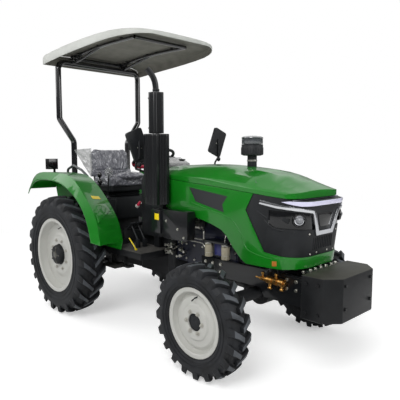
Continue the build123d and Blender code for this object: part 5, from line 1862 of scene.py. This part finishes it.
# ------------------------------------------------------------------ bolts, pipes and small plates
@dataclass
class Hardware:
    """Bolts, pipes and blank plates that are screwed to the castings and plates."""

    bolts: list[tuple[str, str, Coat, Point, Point, float]] = field(
        default_factory=lambda: [
            # group, body, finish, place, way it faces, size across flats
            *[(
                "weight", "chassis", Coat.POWDER, (2471.5, y, z), (1, 0, 0), 20.0
            ) for y in (-158, 150) for z in (640, 498)],
            *[(
                "weight", "chassis", Coat.POWDER, (x, -273.5, z), (0, -1, 0), 20.0
            ) for x in (2280, 2360) for z in (640, 460)],
            *[(
                "weight", "chassis", Coat.POWDER, (x, 273.5, z), (0, 1, 0), 20.0
            ) for x in (2280, 2360) for z in (640, 460)],
            *[(
                "hanger", "chassis", Coat.ZINC, (2228, y, 685), (0, 0, 1), 20.0
            ) for y in (-150, -95, -30, 30, 95, 150)],
            *[(
                "plate", "chassis", Coat.ZINC, (2201, s * 186, z), (0, s, 0), 16.0
            ) for s in (-1, 1) for z in (676, 610, 540)],
            *[
                ("box", "chassis", Coat.ZINC, (x, s * 385, z), (0, s, 0), 15.0) for s in (-1, 1) for x,
                z in ((1122, 905), (1252, 856), (1320, 800))
            ],
            *[("rail", "chassis", Coat.ZINC, (x, s * 186, z), (0, s, 0), 18.0)
              for s in (-1, 1) for x in (1345, 1420, 1500, 2080, 2150) for z in (548, 604)],
            *[(
                "axle", "chassis", Coat.ZINC, (1750 + dx, s * 150, 505), (0, 0, 1), 18.0
            ) for s in (-1, 1) for dx in (-60, 60)],
            *[("hoop", "chassis", Coat.ZINC, (-360 + dx, s * 355, z), (0, s, 0), 20.0)
              for s in (-1, 1) for dx in (-22, 22) for z in (600, 632)],
            *[("engine", "chassis", Coat.ZINC, (x, s * 165, z), (0, s, 0), 13.0)
              for s in (-1, 1) for x in (1020, 1110, 1200, 1290, 1380, 1470, 1560, 1620) for z in (585, 700)],
        ]
    )
    pipes: list[tuple[str, str, Coat, float, list[Point]]] = field(
        default_factory=lambda: [
            # name, body, finish, radius, points
            (
                "fuel_pipe_upper", "chassis", Coat.ZINC, 5.0,
                [
                    (1133, -206, 770), (1200, -236, 772), (1400, -240, 778), (1580, -240, 783),
                    (1640, -225, 778), (1660, -190, 760)
                ]
            ),
            (
                "fuel_pipe_lower", "chassis", Coat.ZINC, 5.0,
                [
                    (1074, -200, 745), (1140, -238, 748), (1300, -242, 754), (1372, -242, 752),
                    (1408, -246, 715), (1429, -230, 672)
                ]
            ),
            (
                "fuel_pipe_return", "chassis", Coat.ZINC, 4.0,
                [(1590, -206, 862), (1596, -238, 840), (1592, -246, 780), (1580, -240, 712)]
            ),
            (
                "injector_pipe_1", "chassis", Coat.ZINC, 3.5,
                [(1150, -215, 945), (1150, -224, 990), (1140, -190, 1040), (1130, -125, 1060)]
            ),
            (
                "injector_pipe_2", "chassis", Coat.ZINC, 3.5,
                [(1200, -215, 945), (1204, -226, 1000), (1230, -190, 1045), (1240, -125, 1060)]
            ),
            (
                "injector_pipe_3", "chassis", Coat.ZINC, 3.5,
                [(1250, -215, 945), (1256, -226, 1000), (1330, -190, 1045), (1350, -125, 1060)]
            ),
            (
                "injector_pipe_4", "chassis", Coat.ZINC, 3.5,
                [(1300, -215, 945), (1310, -226, 990), (1430, -195, 1040), (1460, -125, 1060)]
            ),
        ]
    )
    plates: list[tuple[str, Coat, Point, Point]] = field(
        default_factory=lambda: [
            # name, finish, lowest and highest corner
            ("post_plate", Coat.YELLOW, (1003, -401.6, 906), (1055, -399.6, 954)),
            ("floor_mat_right", Coat.MAT, (470, -452, 625.2), (890, -160, 629)),
            ("floor_mat_left", Coat.MAT, (470, 160, 625.2), (890, 452, 629)),
            ("step_tread_right", Coat.MAT, (306, -446, 445.2), (514, -304, 449)),
            ("step_tread_left", Coat.MAT, (306, 304, 445.2), (514, 446, 449)),
        ]
    )

    def build(self) -> None:
        """Fit every bolt, pipe and plate."""
        groups: dict[tuple[str, str, Coat], list[bpy.types.Object]] = {}
        for group, body, coat, place, way, across in self.bolts:
            groups.setdefault((group, body, coat), []).append(self.bolt(place, Vector(way), across))
        for (group, body, coat), pieces in groups.items():
            Fitting(coat, body, slot="bright_steel").fit(gather(f"{group}_bolts", pieces))
        for name, body, coat, radius, points in self.pipes:
            line = tube(name, [at(*point) for point in points], radius, 12)
            nuts = [
                self.union(at(*points[0]), at(*points[1]), radius),
                self.union(at(*points[-1]), at(*points[-2]), radius)
            ]
            Fitting(coat, body, slot="bright_steel").fit(gather(name, [line, *nuts]), 50)
        for name, coat, low, high in self.plates:
            Fitting(coat).fit(ease(slab(name, low, high), 1.0, 2))
        self.treads()
        self.coupler()
        self.fittings()
        self.filters()

    @staticmethod
    def fittings() -> None:
        """Scatter small zinc stubs, by a seeded draw, for the valves and pipe ends whose layout isn't known."""
        draw = random.Random(7)
        parts = []
        for _ in range(34):
            x, z = draw.uniform(905, 1135), draw.uniform(585, 760)
            y = -190 if x < 990 else -166
            size, length = draw.uniform(5, 10), draw.uniform(12, 42)
            foot = at(x, y + 2, z)
            tip = at(x + draw.uniform(-14, 14), y - length, z + draw.uniform(-12, 12))
            parts.append(ease(drum("stub", foot, tip, size, 12, size * 0.8), 0.8, 1))
            parts.append(ease(
                drum("nut", tip, tip + (tip - foot).normalized() * 0.006, size * 1.35, 6), 0.6, 1
            ))
        Fitting(Coat.ZINC, slot="bright_steel").fit(gather("valve_fittings", parts))

    @staticmethod
    def filters() -> None:
        """Band the two fuel filters in zinc and hang the blue bracket between them."""
        bands = []
        for x in (1425.0, 1590.0):
            for z, radius, tall in ((756, 32.5, 12), (690, 31.5, 5), (664, 20.0, 6)):
                bands.append(ease(drum("band", at(x, -232, z), at(x, -232, z + tall), radius, 32), 1.2, 2))
        Fitting(Coat.ZINC, slot="bright_steel").fit(gather("filter_bands", bands))
        plate = slab("filter_bracket", (1470, -222, 676), (1545, -206, 766))
        Fitting(Coat.COBALT, slot="engine_blue").fit(ease(plate, 4.0, 2))

    @staticmethod
    def bolt(place: Point, way: Vector, across: float) -> bpy.types.Object:
        """Make a hexagon bolt head on its washer."""
        start = at(*place)
        washer = drum("washer", start - way * 0.001, start + way * across * 0.0001, across * 0.66, 24)
        head = drum("bolt", start, start + way * across * 0.00052, across * 0.56, 6)
        ease(head, across * 0.05, 1)
        return gather("bolt", [washer, head])

    @staticmethod
    def union(end: Vector, before: Vector, radius: float) -> bpy.types.Object:
        """Make the hexagon nut at the end of a pipe."""
        way = (before - end).normalized()
        nut = drum("nut", end - way * 0.002, end + way * radius * 0.0028, radius * 1.9, 6)
        return ease(nut, radius * 0.2, 1)

    @staticmethod
    def treads() -> None:
        """Raise the ribs of the step treads and the floor mats."""
        bars = []
        for sign in (-1, 1):
            for k in range(7):
                x = 322 + k * 29
                bars.append(ease(
                    slab(
                        "rib", (x - 4, min(sign * 312, sign * 438), 448.5),
                        (x + 4, max(sign * 312, sign * 438), 451.5)
                    ),
                    1.0, 1
                ))
            for k in range(13):
                x = 490 + k * 31
                bars.append(ease(
                    slab(
                        "rib", (x - 4, min(sign * 170, sign * 442), 628.5),
                        (x + 4, max(sign * 170, sign * 442), 631.5)
                    ),
                    1.0, 1
                ))
        Fitting(Coat.MAT).fit(gather("tread_ribs", bars))

    @staticmethod
    def coupler() -> None:
        """Cast the brass hydraulic coupler that lies along the front rail."""
        turned = []
        for x0, x1, radius, sides in (
            (1850, 1896, 5, 16), (1890, 1926, 15, 6), (
                1924, 1950, 12, 24
            ), (1948, 1988, 25, 32), (1986, 2004, 18, 24),
            (2002, 2030, 27, 6), (2028, 2046, 19, 24), (2044, 2078, 25, 32), (2076, 2092, 16, 6),
        ):
            turned.append(ease(drum("step", at(x0, -214, 588), at(x1, -214, 584), radius, sides), 1.0, 2))
        for x, z0, z1, radius in (
            (1908, 588, 618, 8), (1968, 588, 540, 11), (2016, 588, 626, 9), (2060, 586, 546, 10)
        ):
            turned.append(ease(drum("branch", at(x, -206, z0), at(x, -214, z1), radius, 20), 1.0, 2))
            turned.append(ease(
                drum("nut", at(x, -212, z1), at(x, -214, z1 + math.copysign(12, z1 - z0)), radius * 1.5, 6),
                1.0, 1
            ))
        Fitting(Coat.BRASS).fit(gather("brass_coupler", turned))
# ------------------------------------------------------------------ seat, controls and step
@dataclass(frozen=True)
class Pad:
    """How one padded part of the seat is swollen and how its film lies."""

    node: str
    fill: float
    shrink: Point
    creases: Point  # creases per metre along each axis
    depth_mm: float
    floor_mm: float  # nothing of the pad goes below this height


@dataclass
class Seat:
    """Driver's seat, still in its clear film: swollen pads, crumpled film and a loose flap."""

    nodes: dict[str, bpy.types.Object]
    pads: list[Pad] = field(
        default_factory=lambda: [
            Pad("seat_cushion", 0.7, (0.95, 0.97, 0.92), (9.0, 30.0, 20.0), 7.0, 1105.8),
            Pad("seat_backrest", 0.6, (0.80, 0.99, 0.97), (20.0, 44.0, 4.0), 7.0, 1200.0),
        ]
    )
    cap_mm: float = 14.0
    frames: int = 20
    voxel_mm: float = 6.0
    flap_top: tuple[Point, Point] = ((-226, -206, 1463), (-292, -352, 1447))
    flap_foot: tuple[Point, Point] = ((-196, -216, 1190), (-202, -232, 1186))

    def build(self) -> None:
        """Build both pads, the flap, the black piping and the bellows under the pan."""
        for pad in self.pads:
            self.pad(pad)
        self.slack_film()
        self.flap()
        self.piping()
        self.bellows()

    def pad(self, pad: Pad) -> None:
        """Swell one padded part by cloth simulation, then crumple the film over it.

        Args:
            pad: Which part, and how it is filled and creased.
        """
        piece = recast(self.nodes[pad.node], f"{pad.node}_in_film", 0.0)
        low, high = (Vector(corner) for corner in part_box(pad.node))
        middle = (low + high) / 2
        piece.data.transform(
            Matrix.Translation(middle) @ Matrix.Diagonal((*pad.shrink, 1.0)) @ Matrix.Translation(-middle)
        )
        work(piece, "REMESH", mode="VOXEL", voxel_size=self.voxel_mm / 1000)
        self.swell(piece)
        work(piece, "SUBSURF", levels=1, render_levels=1)
        for vertex in piece.data.vertices:
            vertex.co.z = max(vertex.co.z, pad.floor_mm / 1000)
        self.crumple(piece, pad.creases, pad.depth_mm, pad.floor_mm / 1000)
        Fitting(Coat.WRAP, slot="seat_wrap", stands_for=(pad.node,)).fit(piece, 180)

    def swell(self, piece: bpy.types.Object) -> None:
        """Blow a pad up with the cloth solver, no point moving further than the cap."""
        starts = [vertex.co.copy() for vertex in piece.data.vertices]
        hold(piece)
        cloth = piece.modifiers.new("cloth", "CLOTH")
        cloth.settings.use_pressure = True
        cloth.settings.uniform_pressure_force = 4.0
        cloth.settings.effector_weights.gravity = 0.0
        for frame in range(1, self.frames + 1):
            bpy.context.scene.frame_set(frame)
        bpy.ops.object.modifier_apply(modifier=cloth.name)
        bpy.context.scene.frame_set(1)
        for vertex, start in zip(piece.data.vertices, starts):
            move = vertex.co - start
            if move.length > self.cap_mm / 1000:
                vertex.co = start + move * (self.cap_mm / 1000 / move.length)

    @staticmethod
    def crumple(piece: bpy.types.Object, creases: Point, depth_mm: float, floor: float) -> None:
        """Push sharp creases out of a surface along its normals, as thin film gathers.

        Args:
            piece: The piece to crumple.
            creases: Creases per metre along each axis.
            depth_mm: How far the highest crease stands.
            floor: Height below which nothing moves, in metres.
        """
        normals = [vertex.normal.copy() for vertex in piece.data.vertices]
        for vertex, normal in zip(piece.data.vertices, normals):
            if vertex.co.z < floor + 0.002:
                continue
            bend = noise.noise_vector(vertex.co * 9.0) * 0.035
            spot = Vector([(a + b) * c for a, b, c in zip(vertex.co, bend, creases)])
            ridge = noise.ridged_multi_fractal(spot, 1.0, 2.0, 3.0, 1.0, 2.0)
            vertex.co += normal * (ridge - 0.9) * (1.0 - 0.65 * abs(normal.z)) * depth_mm / 1000
        piece.data.update()

    def slack_film(self) -> None:
        """Gather the bag's slack below the backrest and bunch it up on the cushion."""
        skirt = slab("film_skirt", (-208, -226, 1186), (-172, 226, 1252))
        heap = ball("film_heap", at(92, 24, 1196), (92.0, 158.0, 40.0))
        for piece, creases, depth in ((skirt, (14.0, 44.0, 5.0), 8.0), (heap, (26.0, 17.0, 14.0), 15.0)):
            work(ease(piece, 14.0, 3), "REMESH", mode="VOXEL", voxel_size=self.voxel_mm / 1000)
            self.crumple(piece, creases, depth, 1.19)
            Fitting(Coat.WRAP, slot="seat_wrap").fit(piece, 180)

    def flap(self) -> None:
        """Hang the loose corner of the film bag off the backrest's right edge."""
        (top_in, top_out), (foot_in, foot_out) = self.flap_top, self.flap_foot

        def place(u: float, v: float) -> Vector:
            """A point of the flap: u from the backrest outward, v from the top down."""
            inner = at(*top_in).lerp(at(*foot_in), v)
            outer = at(*top_out).lerp(at(*foot_out), v)
            spot = inner.lerp(outer, u)
            ripple = noise.ridged_multi_fractal(
                Vector((u * 2.2, v * 4.0, u * v * 3.0)), 1.0, 2.0, 3.0, 1.0, 2.0
            )
            return spot + Vector((0.9, -0.3, 0.1)) * ((ripple - 0.9) * 0.012 * (0.3 + u))

        piece = skin("film_flap", 28, 48, place)
        top, foot = at(*top_out) - at(*top_in), at(*foot_out) - at(*foot_in)
        tall = (at(*top_in) - at(*foot_in)).length
        Fitting(Coat.FLAP, slot="seat_wrap").fit(piece, 180)

    def piping(self) -> None:
        """Run the black piping round the cushion's foot."""
        x0, x1, y, z = -196.0, 140.0, 222.0, 1106.0
        ring = [
            (x0 + 30, y), (x1 - 30, y), (x1, y - 30), (x1, -y + 30), (x1 - 30, -y), (x0 + 30, -y),
            (x0, -y + 30)
        ]
        ring = ring + [(x0, y - 30), (x0 + 30, y)]
        Fitting(Coat.PLASTIC).fit(tube("seat_piping", [at(px, py, z) for px, py in ring], 6.0, 12), 60)

    @staticmethod
    def bellows() -> None:
        """Fold the rubber bellows of the suspension round the seat's pedestal."""
        rows = []
        for k in range(9):
            grow = 0.0 if k % 2 else 13.0
            z = 962.0 + k * 12.0
            x0, x1, y = -168.0 - grow, 62.0 + grow, 148.0 + grow
            rows.append([at(x0, -y, z), at(x1, -y, z), at(x1, y, z), at(x0, y, z)])
        Fitting(Coat.PLASTIC).fit(ease(loft("seat_bellows", rows), 2.5, 2, 20), 30)


@dataclass
class Controls:
    """Knobs, grips, dials, caps and small soft parts round the driver. Sizes in millimetres from the rear axle."""

    nodes: dict[str, bpy.types.Object]
    lever_tops: list[tuple[float, float, float]] = field(
        default_factory=lambda: [(30.0, 1200.0, 290.0), (100.0, 1140.0, 330.0), (215.0, 1235.0, 310.0)]
    )
    wheel_middle: Point = (490.0, 0.0, 1365.0)
    wheel_radius: float = 185.0
    rake: tuple[float, float] = (-0.42, 0.9075)
    filler: Point = (985.0, -100.0, 1366.0)

    def build(self) -> None:
        """Fit everything round the driver."""
        self.levers()
        self.steering()
        self.dash()
        self.filler_cap()
        self.stop_knob()
        self.zip_tie()

    def levers(self) -> None:
        """Give each lever its knob and rubber boot, and leave the last one on the right in its film."""
        knobs, boots = [], []
        for x, z, y in self.lever_tops:
            for sign in (-1, 1):
                knobs.append(ball("knob", at(x + 24, sign * y, z + 14), (21.0, 21.0, 27.0)))
                boots.append(drum(
                    "boot", at(x - 6, sign * y, 1000), at(x - 2, sign * y, 1032), 26.0, 24, 11.0
                ))
        Fitting(Coat.GLOSS, slot="black_plastic").fit(gather("lever_knobs", knobs), 180)
        Fitting(Coat.PLASTIC, slot="black_plastic").fit(ease(gather("lever_boots", boots), 1.5, 2))
        x, z, y = self.lever_tops[2]
        bag = ball("lever_film", at(x + 24, -y, z + 6), (36.0, 31.0, 50.0))
        work(bag, "SUBSURF", levels=2, render_levels=2)
        Seat.crumple(bag, (30.0, 30.0, 22.0), 12.0, 0.0)
        Fitting(Coat.CLING, slot="seat_wrap").fit(bag, 180)

    def steering(self) -> None:
        """Cap the steering wheel's hub and wrap part of the rim in red film."""
        across, up = Vector((0, 1, 0)), Vector((self.rake[1], 0, -self.rake[0]))
        axis = Vector((self.rake[0], 0, self.rake[1]))
        middle = at(*self.wheel_middle)
        arc = []
        for k in range(9):
            angle = math.radians(-118 - k * 11)
            arc.append(middle + (up * math.cos(angle) + across * math.sin(angle)) * self.wheel_radius / 1000)
        band = tube("wheel_rim_film", arc, 16.5, 16)
        Fitting(Coat.RED_KNOB, "steering_wheel").fit(band, 180)
        hub = drum("wheel_hub_cap", middle + axis * 0.008, middle + axis * 0.022, 34.0, 40, 28.0)
        Fitting(Coat.PLASTIC, "steering_wheel", slot="black_plastic").fit(ease(hub, 3.0, 3))

    def dash(self) -> None:
        """Set the dials in the panel, leave them blank, and drape the shipping film over the binnacle."""
        face = Vector((-0.86, 0, 0.51)).normalized()
        dials = []
        for y, size in ((-62.0, 30.0), (0.0, 42.0), (62.0, 30.0)):
            start = at(687, y, 1356)
            dials.append(ease(drum("dial", start - face * 0.004, start + face * 0.006, size, 36), 1.5, 2))
        Fitting(Coat.SMOKE, slot="lamp_black").fit(gather("dash_dials", dials))
        outline = [
            (676, 1366), (716, 1379), (838, 1329), (843, 1296), (820, 1262), (806, 1262), (822, 1300),
            (712, 1362)
        ]
        cover = side_prism("dash_film", outline, -122, 122)
        work(cover, "REMESH", mode="VOXEL", voxel_size=0.006)
        work(cover, "SMOOTH", factor=0.6, iterations=4)
        Seat.crumple(cover, (16.0, 12.0, 26.0), 5.0, 0.0)
        Fitting(Coat.FLAP, slot="seat_wrap").fit(cover, 180)

    def filler_cap(self) -> None:
        """Screw the fuel filler cap into the bonnet's rear corner."""
        x, y, z = self.filler
        neck = drum("neck", at(x, y, z - 16), at(x, y, z - 4), 21.0, 32)
        cap = drum("cap", at(x, y, z - 8), at(x, y, z - 1), 28.0, 12)
        top = drum("top", at(x, y, z - 2), at(x, y, z), 22.0, 32, 20.0)
        Fitting(Coat.PLASTIC, "bonnet", slot="black_plastic").fit(
            gather("fuel_filler_cap", [neck, ease(cap, 2.0, 2), ease(top, 0.8, 2)])
        )

    @staticmethod
    def stop_knob() -> None:
        """Fit the engine-stop pull with its red shank and white end, right of the console."""
        rod = tube("stop_rod", [at(592, -214, 985), at(585, -225, 984), at(572, -234, 974)], 6.0, 12)
        Fitting(Coat.ZINC, slot="bright_steel").fit(rod, 60)
        shank = drum("stop_shank", at(590, -226, 1000), at(566, -238, 966), 11.0, 20, 13.0)
        Fitting(Coat.RED_KNOB).fit(ease(shank, 2.0, 2))
        end = drum("stop_end", at(567, -238, 968), at(556, -243, 952), 19.0, 28, 15.0)
        Fitting(Coat.IVORY).fit(ease(end, 4.0, 3), 60)

    @staticmethod
    def zip_tie() -> None:
        """Loop the yellow cable tie that holds the wiring at the step."""
        line = [(764, -404, 628), (757, -408, 648), (738, -414, 676), (716, -418, 700), (694, -423, 724)]
        tie = tube("cable_tie", [at(*point) for point in line], 4.5, 10)
        block = slab("tie_block", (755, -412, 630), (771, -397, 642))
        Fitting(Coat.YELLOW).fit(gather("cable_tie_yellow", [tie, ease(block, 1.5, 2)]), 60)


# ------------------------------------------------------------------ studio
@dataclass
class Studio:
    """Camera, soft lights, pale floor and white surroundings."""

    camera_place: Point = (2.9194, -2.5835, 1.4011)
    yaw_deg: float = 45.95
    pitch_deg: float = -5.64
    lens_mm: float = 41.39
    floor_size: float = 18.0
    sky: float = 0.42
    floor_lift: float = 0.42
    lamps: list[tuple[str, Point, float, float]] = field(
        default_factory=lambda: [
            # name, place, size in metres, watts
            ("key lamp", (3.5, -6.0, 6.5), 4.0, 360.0),
            ("side lamp", (-5.5, -4.5, 4.5), 4.0, 120.0),
            ("front lamp", (7.0, 2.5, 3.5), 3.0, 110.0),
        ]
    )

    def build(self) -> None:
        """Make the camera, the lamps, the floor and the world."""
        self.camera()
        self.light()
        self.floor()
        self.world()

    def camera(self) -> None:
        """Place the camera at the viewing angle."""
        bpy.ops.object.camera_add(location=self.camera_place)
        camera = bpy.context.object
        camera.name = "viewing_camera"
        camera.data.lens = self.lens_mm
        camera.data.sensor_width = 36.0
        camera.data.clip_end = 200.0
        yaw, pitch = math.radians(self.yaw_deg), math.radians(self.pitch_deg)
        ahead = Vector((-math.sin(yaw) * math.cos(pitch), math.cos(yaw) * math.cos(pitch), math.sin(pitch)))
        camera.rotation_euler = ahead.to_track_quat("-Z", "Y").to_euler()
        bpy.context.scene.camera = camera

    def light(self) -> None:
        """Hang the soft area lamps, each turned to the tractor's middle."""
        for name, place, size, watts in self.lamps:
            bpy.ops.object.light_add(type="AREA", location=place)
            lamp = bpy.context.object
            lamp.name = name
            lamp.data.size = size
            lamp.data.energy = watts
            lamp.rotation_euler = (Vector((0.2, 0, 0.9)) - Vector(place)).to_track_quat("-Z", "Y").to_euler()

    def floor(self) -> None:
        """Lay a pale floor that looks white to the camera but keeps the tractor's shadow."""
        bpy.ops.mesh.primitive_plane_add(size=self.floor_size, location=(0, 0, 0))
        floor = bpy.context.object
        floor.name = "studio_floor"
        material, tree = start_material("studio floor")
        place = add_node(tree, "ShaderNodeTexCoord").outputs["Object"]
        speck = add_node(tree, "ShaderNodeTexNoise", {"Vector": place, "Scale": 40.0, "Detail": 4.0})
        tone = add_node(
            tree,
            "ShaderNodeMix",
            {0: speck.outputs["Fac"], 6: linear("#fbfbfb"), 7: linear("#f6f6f6")},
            data_type="RGBA",
        )
        matt = add_node(
            tree, "ShaderNodeBsdfPrincipled", {"Base Color": tone.outputs[2], "Roughness": 0.9}
        )
        away = add_node(tree, "ShaderNodeVectorMath", {0: place}, operation="LENGTH")
        reach = add_node(
            tree, "ShaderNodeMapRange", {"Value": away.outputs["Value"], "From Min": 2.2, "From Max": 5.5}
        )
        path = add_node(tree, "ShaderNodeLightPath")
        share = add_node(
            tree,
            "ShaderNodeMath",
            {0: reach.outputs["Result"], 1: path.outputs["Is Camera Ray"]},
            operation="MULTIPLY",
        )
        seen = add_node(
            tree, "ShaderNodeMath", {
                0: path.outputs["Is Camera Ray"], 1: self.floor_lift
            }, operation="MULTIPLY"
        )
        lift = add_node(
            tree, "ShaderNodeEmission", {"Color": linear("#ffffff"), "Strength": seen.outputs[0]}
        )
        near = add_node(tree, "ShaderNodeAddShader", {0: matt.outputs["BSDF"], 1: lift.outputs[0]})
        white = add_node(tree, "ShaderNodeEmission", {"Color": linear("#ffffff"), "Strength": 1.0})
        both = add_node(
            tree, "ShaderNodeMixShader", {0: share.outputs[0], 1: near.outputs[0], 2: white.outputs[0]}
        )
        add_node(tree, "ShaderNodeOutputMaterial", {"Surface": both.outputs[0]})
        floor.data.materials.append(material)

    def world(self) -> None:
        """Surround the scene with soft light: white to the camera, and to reflections bright above and dark below."""
        world = bpy.data.worlds.new("soft sky")
        bpy.context.scene.world = world
        world.use_nodes = True
        tree = world.node_tree
        tree.nodes.clear()
        path = add_node(tree, "ShaderNodeLightPath")
        seen = add_node(
            tree,
            "ShaderNodeMath",
            {0: path.outputs["Is Camera Ray"], 1: path.outputs["Is Transmission Ray"]},
            operation="MAXIMUM",
        )
        heading = add_node(tree, "ShaderNodeTexCoord").outputs["Generated"]
        height = add_node(tree, "ShaderNodeSeparateXYZ", {"Vector": heading})
        mirrored_sky = add_node(
            tree,
            "ShaderNodeMapRange",
            {"Value": height.outputs["Z"], "From Min": 0.0, "From Max": 0.45, "To Min": 0.08, "To Max": 1.05},
        )
        plain = add_node(
            tree,
            "ShaderNodeMix",
            {0: path.outputs["Is Glossy Ray"], 2: self.sky, 3: mirrored_sky.outputs["Result"]},
        )
        strength = add_node(tree, "ShaderNodeMix", {0: seen.outputs[0], 2: plain.outputs[0], 3: 1.0})
        sky = add_node(
            tree, "ShaderNodeBackground", {"Color": linear("#ffffff"), "Strength": strength.outputs[0]}
        )
        add_node(tree, "ShaderNodeOutputWorld", {"Surface": sky.outputs["Background"]})


# without a seed the clock seeds the noise, and the film's creases change from run to run
NOISE_SEED = 7


def main() -> None:
    """Load the frame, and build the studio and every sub-assembly."""
    noise.seed_set(NOISE_SEED)
    logging.basicConfig(level=logging.INFO, format="%(name)s: %(message)s")
    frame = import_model()
    rest()
    bpy.context.scene.view_settings.view_transform = "Standard"
    bodies = {node: body for body, names in frame["record"]["behaviour"]["bodies"].items() for node in names}
    Studio().build()
    Pressings(frame["nodes"], bodies).build()
    nodes = frame["nodes"]
    for assembly in (
        Bonnet(nodes), Roof(nodes["canopy_roof"]), Fenders(nodes), Stack(nodes), Mirrors(nodes["mirrors"]),
        Hardware(), Seat(nodes), Controls(nodes)
    ):
        assembly.build()
    for wheel in wheel_set():
        wheel.build()


if __name__ == "__main__":
    main()
